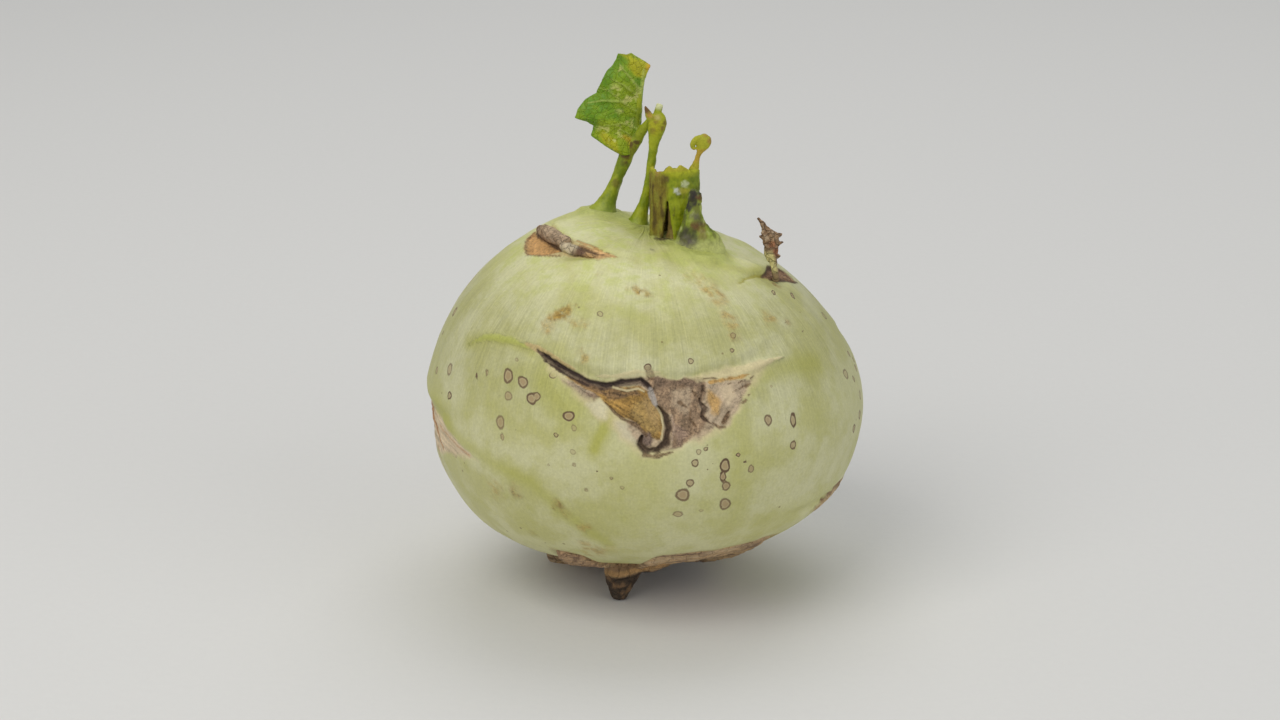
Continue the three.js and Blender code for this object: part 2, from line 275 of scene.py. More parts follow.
@dataclass(frozen=True)
class Patch:
    """A part of a scar in one colour, inside an outline.

    `height` is its level over the skin and `rough` the size of its lumps, `feather` half the width
    of its edge, `ragged` how far the edge wanders and `streaks` how strong the streaks along
    `grain` are.
    """

    outline: tuple[Place, ...]
    colour: Colour
    opacity: float = 1.0
    height: float | None = None
    rough: float = 0.0
    feather: float = 0.35
    ragged: float = 0.6
    streaks: float = 0.0
    grain: float = 0.0

    def lay(self, coat: Coat, at: Array, places: Array) -> None:
        """Lays the patch on a coat.

        Args:
            coat: What it is laid on.
            at: The indices of the points near the scar.
            places: Where those points are across and up the scar.
        """
        points = coat.points[at]
        depth = inside(places, self.outline) + self.ragged * NOISE.fractal(points, 3.0, 4)
        share = smooth(-self.feather, self.feather, depth)
        if self.height is not None:
            level = self.height + self.rough * NOISE.fractal(points + 9, 1.4, 4)
            blend = smooth(-1.6 * self.feather, 2.2 * self.feather, depth)
            coat.height[at] += blend * (level - coat.height[at])
        coat.lay(at, share * self.opacity, self.colour)
        if self.streaks:
            angle = math.radians(self.grain)
            across = places @ np.array([-math.sin(angle), math.cos(angle)])
            along = places @ np.array([math.cos(angle), math.sin(angle)])
            wobble = np.stack([along / 6, across / 0.45, 0 * along], axis=1)
            streak = NOISE.fractal(wobble + 3, 1.0, 3)
            darker = tuple(0.42 * channel for channel in self.colour)
            lighter = tuple(min(1.0, 1.55 * channel) for channel in self.colour)
            coat.lay(at, share * self.streaks * smooth(0.05, 0.55, streak), darker)
            coat.lay(at, share * self.streaks * smooth(0.05, 0.55, -streak), lighter)
            coat.height[at] += 0.12 * self.streaks * share * streak


@dataclass(frozen=True)
class Stroke:
    """A line along a path: a crease where `depth` is positive, a ridge or lip where it isn't."""

    path: tuple[Place, ...]
    widths: tuple[float, ...]
    colour: Colour
    opacity: float = 1.0
    depth: float = 0.0
    reach: float = 1.0
    ragged: float = 0.25

    def lay(self, coat: Coat, at: Array, places: Array) -> None:
        """Lays the stroke on a coat.

        Args:
            coat: What it is laid on.
            at: The indices of the points near the scar.
            places: Where those points are across and up the scar.
        """
        distance, share = along_path(places, self.path)
        width = np.interp(share * (len(self.widths) - 1), range(len(self.widths)), self.widths)
        distance = distance + self.ragged * NOISE.fractal(coat.points[at] + 31, 1.6, 3)
        coat.height[at] -= self.depth * (1 - smooth(0.1 * width, self.reach * width, distance))
        ink = 1 - smooth(0.45 * width, width, distance)
        coat.lay(at, ink * self.opacity, self.colour)


@dataclass(frozen=True)
class Blot:
    """A ragged round stain at a point in space."""

    centre: Array | tuple[float, float, float]
    radius: float
    colour: Colour
    opacity: float = 1.0
    feather: float = 0.5
    ragged: float = 0.5
    flatten: float = 1.0
    broken: float = 0.0

    def lay(self, coat: Coat) -> None:
        """Lays the stain on a coat.

        Args:
            coat: What it is laid on.
        """
        away = (coat.points - np.asarray(self.centre)) * np.array([1, 1, self.flatten])
        distance = np.linalg.norm(away, axis=1)
        at = np.nonzero(distance < 2.6 * self.radius)[0]
        points = coat.points[at]
        depth = self.radius - distance[at]
        depth += self.ragged * self.radius * NOISE.fractal(points + 5, 0.9 * self.radius, 4)
        soft = self.feather * self.radius
        share = self.opacity * smooth(-soft, soft, depth)
        if self.broken:
            share *= 1 - self.broken * smooth(0.3, -0.3, NOISE.fractal(points + 70, 1.1, 3))
        coat.lay(at, share, self.colour)


# ---- Meshes ----


class Shaper:
    """Makes meshes from primitives, and shapes them by moving their points."""

    @staticmethod
    def deselect() -> None:
        """Leaves nothing selected and no object in edit mode."""
        if bpy.context.object and bpy.context.object.mode != "OBJECT":
            bpy.ops.object.mode_set(mode="OBJECT")
        bpy.ops.object.select_all(action="DESELECT")

    @classmethod
    def pick(cls, *pieces: Piece) -> None:
        """Selects some pieces and nothing else.

        Args:
            *pieces: Mesh objects, of which the first becomes the active one.
        """
        cls.deselect()
        for piece in pieces:
            piece.select_set(True)
        bpy.context.view_layer.objects.active = pieces[0]

    @staticmethod
    def read(piece: Piece) -> Array:
        """The places of a piece's points.

        Args:
            piece: A mesh object.

        Returns:
            Its points in millimetres, one row each.
        """
        flat = np.empty(3 * len(piece.data.vertices))
        piece.data.vertices.foreach_get("co", flat)
        return flat.reshape(-1, 3) / MM

    @staticmethod
    def write(piece: Piece, points: Array) -> None:
        """Moves a piece's points.

        Args:
            piece: A mesh object.
            points: Where they go, in millimetres.
        """
        piece.data.vertices.foreach_set("co", (points * MM).ravel())
        piece.data.update()

    @classmethod
    def ball(
        cls, name: str, columns: int, rows: int, shape: Callable[[Array, Array], Array]
    ) -> Piece:
        """A closed skin, from a sphere whose points are moved.

        Args:
            name: The piece's name.
            columns: How many faces go round it.
            rows: How many go from pole to pole.
            shape: Gives the place, in millimetres, of a point from how far round it is, 0 to 1,
                and how far down from the upper pole, 0 to 1.

        Returns:
            The piece.
        """
        cls.deselect()
        bpy.ops.mesh.primitive_uv_sphere_add(
            segments=columns, ring_count=rows, radius=1, calc_uvs=False
        )
        piece = bpy.context.object
        piece.name = piece.data.name = name
        unit = cls.read(piece) * MM
        around = (np.arctan2(unit[:, 1], unit[:, 0]) / math.tau) % 1
        down = np.arccos(np.clip(unit[:, 2], -1, 1)) / math.pi
        cls.write(piece, shape(around, down))
        bpy.ops.object.shade_smooth()
        return piece

    @classmethod
    def sheet(
        cls, name: str, columns: int, rows: int, thickness: float,
        shape: Callable[[Array, Array], Array],
    ) -> Piece:
        """A thin closed sheet, from a flat grid whose points are moved.

        Args:
            name: The piece's name.
            columns: How many faces it has across.
            rows: How many it has up.
            thickness: Its thickness, in millimetres.
            shape: Gives the place, in millimetres, of a point from how far across and how far up
                it is, each 0 to 1.

        Returns:
            The piece.
        """
        cls.deselect()
        bpy.ops.mesh.primitive_grid_add(x_subdivisions=columns, y_subdivisions=rows, size=2)
        piece = bpy.context.object
        piece.name = piece.data.name = name
        flat = cls.read(piece) * MM
        cls.write(piece, shape((flat[:, 0] + 1) / 2, (flat[:, 1] + 1) / 2))
        cls.modify(piece, "SOLIDIFY", thickness=thickness * MM, offset=0.0, use_rim=True)
        return piece

    @classmethod
    def refine(cls, piece: Piece, chosen: Array, cuts: int) -> None:
        """Subdivides some of a mesh's faces.

        Args:
            piece: A mesh object.
            chosen: Whether each face is subdivided.
            cuts: How many cuts each of its edges gets.
        """
        cls.pick(piece)
        bpy.context.tool_settings.mesh_select_mode = (False, False, True)
        bpy.ops.object.mode_set(mode="EDIT")
        bpy.ops.mesh.select_all(action="DESELECT")
        bpy.ops.object.mode_set(mode="OBJECT")
        piece.data.polygons.foreach_set("select", chosen)
        bpy.ops.object.mode_set(mode="EDIT")
        bpy.ops.mesh.subdivide(number_cuts=cuts)
        bpy.ops.object.mode_set(mode="OBJECT")
        bpy.context.tool_settings.mesh_select_mode = (True, False, False)

    @classmethod
    def modify(cls, piece: Piece, kind: str, **settings: object) -> None:
        """Adds a modifier to a piece and applies it.

        Args:
            piece: A mesh object.
            kind: The modifier's type.
            **settings: Its settings.
        """
        cls.pick(piece)
        modifier = piece.modifiers.new(kind.title(), kind)
        for key, value in settings.items():
            setattr(modifier, key, value)
        bpy.ops.object.modifier_apply(modifier=modifier.name)

    @classmethod
    def grow(cls, name: str, stations: Sequence[Station], sides: int, levels: int) -> Piece:
        """A stalk, drawn up ring by ring from a disc at its foot.

        Args:
            name: The piece's name.
            stations: Points along it, each x, y, z, half width and half depth, in millimetres.
            sides: How many faces go round it before it is smoothed.
            levels: How often its faces are divided.

        Returns:
            The piece.
        """
        spots = [Vector(station[:3]) * MM for station in stations]
        turns = []
        for before, after in zip([spots[0], *spots], [*spots[1:], spots[-1]]):
            ahead = (after - before).normalized()
            wide = ahead.cross(Vector((0, 1, 0))).normalized()
            turns.append(Matrix((wide, ahead.cross(wide), ahead)).transposed())
        cls.deselect()
        bpy.ops.mesh.primitive_circle_add(
            vertices=sides, radius=MM, fill_type="NGON", location=spots[0],
            rotation=turns[0].to_euler(),
        )
        piece = bpy.context.object
        piece.name = piece.data.name = name
        bpy.ops.object.transform_apply(location=True, rotation=True, scale=True)
        bpy.ops.object.mode_set(mode="EDIT")
        bpy.ops.mesh.select_all(action="SELECT")
        wide, deep = stations[0][3:]
        bpy.ops.transform.resize(value=(wide, deep, wide), center_override=spots[0])
        for n in range(1, len(stations)):
            step = spots[n] - spots[n - 1]
            bpy.ops.mesh.extrude_region_move(TRANSFORM_OT_translate={"value": step})
            turn = (turns[n] @ turns[n - 1].transposed()).to_euler()
            for axis, angle in zip("XYZ", turn):
                bpy.ops.transform.rotate(value=-angle, orient_axis=axis, center_override=spots[n])
            wider = stations[n][3] / stations[n - 1][3]
            deeper = stations[n][4] / stations[n - 1][4]
            bpy.ops.transform.resize(value=(wider, deeper, wider), center_override=spots[n])
        bpy.ops.mesh.inset(thickness=0.4 * MM * min(stations[-1][3:]))
        bpy.ops.mesh.select_all(action="SELECT")
        bpy.ops.mesh.normals_make_consistent(inside=False)
        bpy.ops.object.mode_set(mode="OBJECT")
        cls.modify(piece, "SUBSURF", levels=levels, render_levels=levels)
        bpy.ops.object.shade_smooth()
        return piece

    @classmethod
    def grow_all(cls, stalks: Iterable[Sequence[Station]], sides: int = 12) -> list[Piece]:
        """Stalks to fuse, each grown from its stations."""
        return [cls.grow("part", stations, sides, 2) for stations in stalks]

    @classmethod
    def fuse(cls, name: str, parts: Sequence[Piece], voxel: float, relax: int) -> Piece:
        """Grows several parts together into one closed skin.

        Args:
            name: The piece's name.
            parts: Closed meshes that overlap.
            voxel: The width of the new faces, in millimetres.
            relax: How often the new skin is smoothed.

        Returns:
            The piece.
        """
        cls.pick(*parts)
        bpy.ops.object.join()
        piece = bpy.context.object
        piece.name = piece.data.name = name
        cls.modify(piece, "REMESH", mode="VOXEL", voxel_size=voxel * MM)
        cls.modify(piece, "SMOOTH", factor=0.5, iterations=relax)
        bpy.ops.object.shade_smooth()
        return piece

    @classmethod
    def roughen(cls, piece: Piece, lumps: Lumps) -> None:
        """Moves a piece's points in and out by noise.

        Args:
            piece: A mesh object.
            lumps: The width and the height of each size of lump, in millimetres.
        """
        points = cls.read(piece)
        normals = np.empty(points.size)
        piece.data.vertices.foreach_get("normal", normals)
        height = sum(rise * NOISE.fractal(points + 3 * width, width, 3) for width, rise in lumps)
        cls.write(piece, points + normals.reshape(-1, 3) * height[:, None])

    @staticmethod
    def mark(piece: Piece, name: str, values: Array) -> None:
        """Stores a number or a colour at each point of a piece.

        Args:
            piece: A mesh object.
            name: The attribute's name.
            values: One number, or one linear colour, for each point.
        """
        if values.ndim == 1:
            attribute = piece.data.attributes.new(name, "FLOAT", "POINT")
            attribute.data.foreach_set("value", values.astype(np.float32))
            return
        attribute = piece.data.color_attributes.new(name, "FLOAT_COLOR", "POINT")
        colours = np.concatenate([values, np.ones((len(values), 1))], axis=1)
        attribute.data.foreach_set("color", colours.astype(np.float32).ravel())


# ---- Shader maths ----


class Wire:
    """A node's output that Python's operators work on."""

    def __init__(self, shade: Shade, socket: bpy.types.NodeSocket | None) -> None:
        """Wraps a socket.

        Args:
            shade: The material that it is in.
            socket: An output socket, or None for a node that has no output.
        """
        self.shade = shade
        self.socket = socket

    def _sum(self, operation: str, *values: object) -> Wire:
        """A Math node on numbers and wires."""
        return self.shade.node("ShaderNodeMath", {"operation": operation}, dict(enumerate(values)))

    def __add__(self, other: Wire | float) -> Wire:
        """This plus another."""
        return self._sum("ADD", self, other)

    __radd__ = __add__

    def __sub__(self, other: Wire | float) -> Wire:
        """This minus another."""
        return self._sum("SUBTRACT", self, other)

    def __rsub__(self, other: Wire | float) -> Wire:
        """A number minus this."""
        return self._sum("SUBTRACT", other, self)

    def __mul__(self, other: Wire | float) -> Wire:
        """This times another."""
        return self._sum("MULTIPLY", self, other)

    __rmul__ = __mul__

    def __truediv__(self, other: Wire | float) -> Wire:
        """This over another."""
        return self._sum("DIVIDE", self, other)

    def __rtruediv__(self, other: float) -> Wire:
        """A number over this."""
        return self._sum("DIVIDE", other, self)

    def __neg__(self) -> Wire:
        """Minus this."""
        return self._sum("MULTIPLY", self, -1.0)

    def step(self, low: float, high: float) -> Wire:
        """A smooth step.

        Args:
            low: Where it is 0.
            high: Where it is 1, which may lie below low.

        Returns:
            The step.
        """
        rising = high > low
        stepped = self.shade.node(
            "ShaderNodeMapRange",
            {"interpolation_type": "SMOOTHSTEP"},
            {"Value": self, "From Min": min(low, high), "From Max": max(low, high)},
        )
        return stepped if rising else 1.0 - stepped


class Shade:
    """A material under construction, on Object coordinates in metres."""

    def __init__(self, name: str) -> None:
        """Makes an empty material.

        Args:
            name: The material's name.
        """
        self.material = bpy.data.materials.new(name)
        self.material.use_nodes = True
        self.tree = self.material.node_tree
        self.tree.nodes.clear()

    def node(
        self, kind: str, settings: dict | None = None, sockets: dict | None = None,
        output: int | str = 0,
    ) -> Wire:
        """Adds a node.

        Args:
            kind: The node's type.
            settings: Its settings, such as an operation.
            sockets: Values or wires for its inputs, by name or number.
            output: Which output is wanted.

        Returns:
            That output.
        """
        made = self.tree.nodes.new(kind)
        for key, value in (settings or {}).items():
            setattr(made, key, value)
        for key, value in (sockets or {}).items():
            if isinstance(value, Wire):
                self.tree.links.new(value.socket, made.inputs[key])
            else:
                made.inputs[key].default_value = value
        return Wire(self, made.outputs[output] if made.outputs else None)

    def number(self, name: str) -> Wire:
        """A number that is stored at the mesh's points."""
        return self.node("ShaderNodeAttribute", {"attribute_name": name}, output="Fac")

    def colour(self, name: str) -> Wire:
        """A colour that is stored at the mesh's points."""
        return self.node("ShaderNodeAttribute", {"attribute_name": name}, output="Color")

    def place(self) -> Wire:
        """The place on the object, in metres."""
        return self.node("ShaderNodeTexCoord", output="Object")

    def stretch(self, vector: Wire, scale: Sequence[float]) -> Wire:
        """A place with each of its coordinates scaled."""
        return self.node("ShaderNodeMapping", {}, {"Vector": vector, "Scale": tuple(scale)})

    def noise(
        self, vector: Wire, size: float, detail: float = 4.0, rough: float = 0.55
    ) -> Wire:
        """Noise around 0.5.

        Args:
            vector: The place, in metres.
            size: The width of its lumps, in millimetres.
            detail: How many octaves it has.
            rough: How strong the fine ones are.

        Returns:
            The noise.
        """
        sockets = {"Vector": vector, "Scale": 1 / (size * MM), "Detail": detail}
        return self.node("ShaderNodeTexNoise", {}, {**sockets, "Roughness": rough})

    def cells(self, vector: Wire, size: float, waves: float, bend: float) -> Wire:
        """How far places lie from the borders of cells that noise has bent.

        Args:
            vector: The place, in metres.
            size: The width of a cell, in millimetres.
            waves: How many waves of noise there are to a metre.
            bend: How far the noise bends the borders, in metres.

        Returns:
            The distance, where 1 is about the width of a cell.
        """
        noise = self.node("ShaderNodeTexNoise", {}, {"Vector": vector, "Scale": waves}, "Color")
        bent = self.node(
            "ShaderNodeVectorMath", {"operation": "MULTIPLY_ADD"},
            {0: noise, 1: (bend,) * 3, 2: vector},
        )
        return self.node(
            "ShaderNodeTexVoronoi", {"feature": "DISTANCE_TO_EDGE"},
            {"Vector": bent, "Scale": 1 / (size * MM)}, "Distance",
        )

    def mix(self, under: Wire | Colour, over: Wire | Colour, share: Wire | float) -> Wire:
        """One colour laid over another.

        Args:
            under: The colour where share is 0.
            over: The colour where share is 1.
            share: How much of the second shows.

        Returns:
            The mixed colour.
        """
        ends = {
            key: value if isinstance(value, Wire) else (*value, 1.0)
            for key, value in ((6, under), (7, over))
        }
        return self.node(
            "ShaderNodeMix", {"data_type": "RGBA", "clamp_factor": True}, {0: share, **ends}, 2
        )

    def shaded(self, colour: Wire, brightness: Wire) -> Wire:
        """A colour with its brightness scaled, by a grey that multiplies it.

        Args:
            colour: The colour.
            brightness: What its brightness is multiplied by.

        Returns:
            The scaled colour.
        """
        grey = self.node("ShaderNodeCombineColor", {}, {n: brightness for n in range(3)})
        settings = {"data_type": "RGBA", "blend_type": "MULTIPLY", "clamp_factor": True}
        return self.node("ShaderNodeMix", settings, {0: 1.0, 6: colour, 7: grey}, 2)

    def bump(self, height: Wire, depth: float) -> Wire:
        """The normal of a surface that a height field lifts.

        Args:
            height: The height, as a share of depth.
            depth: What a height of 1 stands for, in millimetres.

        Returns:
            The normal.
        """
        return self.node(
            "ShaderNodeBump", {}, {"Height": height, "Distance": depth * MM, "Strength": 1.0}
        )

    def finish(
        self, colour: Wire, roughness: Wire | float, normal: Wire, **constants: object
    ) -> Material:
        """Closes the material with its surface shader.

        Args:
            colour: The base colour.
            roughness: The roughness.
            normal: The normal.
            **constants: Other sockets of the shader that are the same all over.

        Returns:
            The material.
        """
        sockets = {"Base Color": colour, "Roughness": roughness, "Normal": normal}
        sockets.update({key.replace("_", " "): value for key, value in constants.items()})
        surface = self.node("ShaderNodeBsdfPrincipled", {}, sockets)
        self.node("ShaderNodeOutputMaterial", {}, {"Surface": surface})
        return self.material


# ---- Finishes ----


class Slot(Enum):
    """The record's material slots."""

    SKIN = "skin"
    ROOT = "root"
    LEAF = "leaf"
    PETIOLE = "petiole"
    SHEATH = "sheath"
    SHORT_PETIOLE = "short_petiole"
    DRIED = "dried"


@dataclass(frozen=True)
class SkinFinish:
    """The waxy skin: cloudy pale green, streaked towards the crown, with corky paint over it,
    painted light on its crown and underside and painted shade on its flanks.
    """

    pale: Colour = tone(200, 198, 154)
    green: Colour = tone(184, 182, 122)
    deep: Colour = tone(174, 173, 90)
    lime: Colour = tone(182, 190, 100)
    ring: Colour = tone(94, 72, 50)
    scab: Colour = tone(160, 133, 100)
    speck: Colour = tone(120, 104, 60)

    def make(self) -> Material:
        """Builds the material.

        Returns:
            The skin's material.
        """
        s = Shade("kohlrabi_skin")
        place = s.place()
        flat = s.node("ShaderNodeVectorMath", {"operation": "MULTIPLY"}, {0: place, 1: (1, 1, 0)})
        around = s.node("ShaderNodeVectorMath", {"operation": "NORMALIZE"}, {0: flat})
        wide = s.stretch(around, (0.070, 0.070, 1))
        tall = s.stretch(place, (0, 0, 0.07))
        grain = s.node("ShaderNodeVectorMath", {"operation": "ADD"}, {0: wide, 1: tall})
        streak = s.noise(grain, 0.50, 3, 0.6)
        broad = s.noise(grain, 5.0, 3, 0.6)
        cloud = s.noise(place, 13, 4, 0.6)
        patch = s.noise(place, 3.5, 4, 0.6)
        mottle = s.noise(place, 0.55, 3, 0.7)
        height = s.node("ShaderNodeSeparateXYZ", {}, {0: place}, "Z")
        upper = height.step(0.042, 0.064)
        crown = height.step(0.066, 0.080)

        colour = s.mix(self.green, self.pale, cloud.step(0.36, 0.62))
        colour = s.mix(colour, self.deep, patch.step(0.48, 0.72) * 0.30)
        # Deeper yellow-green where the skin yellows, and painted shade at the flanks.
        colour = s.mix(colour, self.deep, s.number("yellowing_and_flank_shade"))
        colour = s.mix(colour, self.lime, crown * patch.step(0.42, 0.66) * 0.5)
        ribbed = upper - crown * 0.6
        light = 1.0 + (streak - 0.5) * (0.12 + 0.40 * ribbed) + (broad - 0.5) * 0.25 * ribbed
        # Painted light: the crown and the lowest band are lightened where the lamps leave the top
        # and underside darker.
        light = light - height.step(0.046, 0.058) * 0.09 + crown * 0.22
        light = light + height.step(0.034, 0.016) * 0.14 - height.step(0.020, 0.036) * 0.03
        colour = s.shaded(colour, light + (mottle - 0.5) * 0.42)

        cells = {"Scale": 1 / (4.2 * MM), "Vector": place}
        speck = s.node("ShaderNodeTexVoronoi", {}, cells, "Distance")
        lot = s.node("ShaderNodeTexVoronoi", {}, cells, "Color")
        chosen = s.node("ShaderNodeSeparateColor", {}, {0: lot}, "Red").step(0.62, 0.66)
        dot = (speck + (mottle - 0.5) * 0.03).step(0.085, 0.055) * chosen
        colour = s.mix(colour, self.speck, dot * 0.7)

        wobble = s.noise(place, 0.8, 2)
        far = s.number("spot_far") + (wobble - 0.5) * 0.30
        rim = far.step(0.62, 0.84) * far.step(1.16, 0.98) * s.number("spot_dark")
        fill = far.step(1.02, 0.84) * s.number("spot_fill")
        inner = far.step(0.45, 0.62) * far.step(0.80, 0.66) * fill
        colour = s.mix(colour, self.scab, fill)
        colour = s.mix(colour, self.pale, inner * 0.30)
        colour = s.mix(colour, self.ring, rim)

        cover = s.number("cover")
        crumb = s.noise(place, 0.55, 5, 0.75)
        lump = s.noise(place, 1.8, 4, 0.65)
        crack = s.cells(place, 1.5, 600.0, 0.0018).step(0.085, 0.0) * lump.step(0.42, 0.6)
        paint = s.colour("paint")
        coarse = s.node("ShaderNodeSeparateColor", {}, {0: paint}, "Green").step(0.50, 0.20)
        coarse = 0.22 + 0.78 * coarse
        painted = s.shaded(
            paint, 1.0 + coarse * ((crumb - 0.5) * 2.6 + (lump - 0.5) * 1.0 - crack * 0.4)
        )
        colour = s.mix(colour, painted, cover)
        cover = cover * coarse

        rise = streak * (0.20 + 0.4 * upper) + mottle * 0.5 - rim * 0.4
        rise = rise + cover * (crumb * 3.0 - crack * 1.2)
        rough = 0.47 + cover * 0.33 + (mottle - 0.5) * 0.2 + fill * 0.15
        return s.finish(colour, rough, s.bump(rise, 0.11), Specular_IOR_Level=0.40)


@dataclass(frozen=True)
class StalkFinish:
    """Green flesh with fine lengthwise ribs, brown specks and paint over it."""

    name: str
    light: Colour
    dark: Colour
    speck: Colour = tone(62, 48, 26)
    specks: float = 0.6

    def make(self) -> Material:
        """Builds the material.

        Returns:
            The stalk's material.
        """
        s = Shade(self.name)
        place = s.place()
        rib = s.noise(s.stretch(place, (1, 1, 0.10)), 0.7, 3, 0.6)
        cloud = s.noise(place, 3.0, 4, 0.6)
        crumb = s.noise(place, 0.5, 4, 0.65)
        colour = s.mix(self.dark, self.light, cloud.step(0.35, 0.65))
        colour = s.shaded(colour, 0.8 + rib * 0.4 + (crumb - 0.5) * 0.3)
        spotty = s.noise(s.stretch(place, (1, 1, 0.6)), 1.1, 3, 0.75)
        dots = spotty.step(0.66, 0.72) * self.specks
        colour = s.mix(colour, self.speck, dots)
        cover = s.number("cover")
        painted = s.shaded(s.colour("paint"), 0.6 + crumb * 0.8)
        colour = s.mix(colour, painted, cover)
        rise = rib * 0.8 + crumb * (0.3 + cover * 1.2)
        rough = 0.42 + crumb * 0.2 + cover * 0.2
        return s.finish(colour, rough, s.bump(rise, 0.16), Specular_IOR_Level=0.35)


@dataclass(frozen=True)
class LeafFinish:
    """Leaf blade: green with a net of fine veins, blistered and yellowing where paint says."""

    green: Colour = tone(92, 134, 12)
    fresh: Colour = tone(122, 152, 18)
    vein: Colour = tone(150, 172, 56)

    def make(self) -> Material:
        """Builds the material.

        Returns:
            The leaf's material.
        """
        s = Shade("kohlrabi_leaf")
        place = s.place()
        cloud = s.noise(place, 3.0, 4, 0.6)
        crumb = s.noise(place, 0.45, 4, 0.65)
        line = s.cells(place, 1.5, 500.0, 0.0012).step(0.09, 0.0)
        colour = s.mix(self.green, self.fresh, cloud.step(0.4, 0.65))
        colour = s.mix(colour, self.vein, line * 0.30)
        colour = s.shaded(colour, 0.82 + crumb * 0.36)
        cover = s.number("cover")
        painted = s.shaded(s.colour("paint"), 0.7 + crumb * 0.6)
        colour = s.mix(colour, painted, cover)
        rise = crumb * 0.7 - line * 0.8 + s.number("blister") * crumb * 2.0
        rough = 0.38 + crumb * 0.2
        return s.finish(colour, rough, s.bump(rise, 0.16), Specular_IOR_Level=0.35)


@dataclass(frozen=True)
class CorkFinish:
    """Cork and dry husk: flaked and cracked, from dark brown to tan, with paint over it."""

    name: str
    dark: Colour
    mid: Colour
    tan: Colour
    flake: float = 2.4

    def make(self) -> Material:
        """Builds the material.

        Returns:
            The cork's material.
        """
        s = Shade(self.name)
        place = s.place()
        cloud = s.noise(place, 5.0, 4, 0.6)
        crumb = s.noise(place, 0.6, 5, 0.7)
        fibre = s.noise(s.stretch(place, (1, 1, 0.22)), 0.8, 4, 0.7)
        crack = s.cells(place, self.flake, 420.0, 0.0022).step(0.10, 0.0)
        colour = s.mix(self.mid, self.tan, cloud.step(0.42, 0.64))
        colour = s.mix(colour, self.dark, fibre.step(0.50, 0.70) * 0.6)
        colour = s.mix(colour, self.dark, crack * 0.35)
        cover = s.number("cover")
        colour = s.mix(colour, s.colour("paint"), cover)
        colour = s.shaded(colour, 0.6 + crumb * 0.8)
        rise = crumb * 0.8 + fibre * 0.7 - crack * 0.8
        return s.finish(colour, 0.72 + (crumb - 0.5) * 0.3, s.bump(rise, 0.5))


@dataclass(frozen=True)
class FloorFinish:
    """Matt pale backdrop paper."""

    paper: Colour = tone(214, 213, 210)

    def make(self) -> Material:
        """Builds the material.

        Returns:
            The floor's material.
        """
        s = Shade("backdrop_paper")
        grain = s.noise(s.place(), 2.0, 3)
        colour = s.mix(self.paper, tuple(0.97 * c for c in self.paper), grain)
        return s.finish(colour, 0.9, s.bump(grain, 0.05), Specular_IOR_Level=0.2)


def store(piece: Piece, coat: Coat) -> None:
    """Stores a coat's colour and cover at a piece's points, where its material reads them.

    Args:
        piece: A finished mesh object.
        coat: Paint over its points.
    """
    Shaper.mark(piece, "paint", coat.colour)
    Shaper.mark(piece, "cover", np.clip(coat.cover, 0, 1))


def stand_for(piece: Piece, node: str, slot: Slot) -> None:
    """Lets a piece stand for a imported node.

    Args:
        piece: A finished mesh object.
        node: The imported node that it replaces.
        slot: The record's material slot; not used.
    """
    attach(piece, "root")
    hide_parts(node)
    LOG.info("%s: %d points, stands for %s", piece.name, len(piece.data.vertices), node)


def dress(piece: Piece, material: Material, node: str, slot: Slot, coat: Coat) -> None:
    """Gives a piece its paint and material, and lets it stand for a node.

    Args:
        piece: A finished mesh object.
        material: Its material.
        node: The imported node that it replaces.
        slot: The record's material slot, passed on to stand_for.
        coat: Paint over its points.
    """
    store(piece, coat)
    piece.data.materials.clear()
    piece.data.materials.append(material)
    stand_for(piece, node, slot)


# ---- The bulb ----


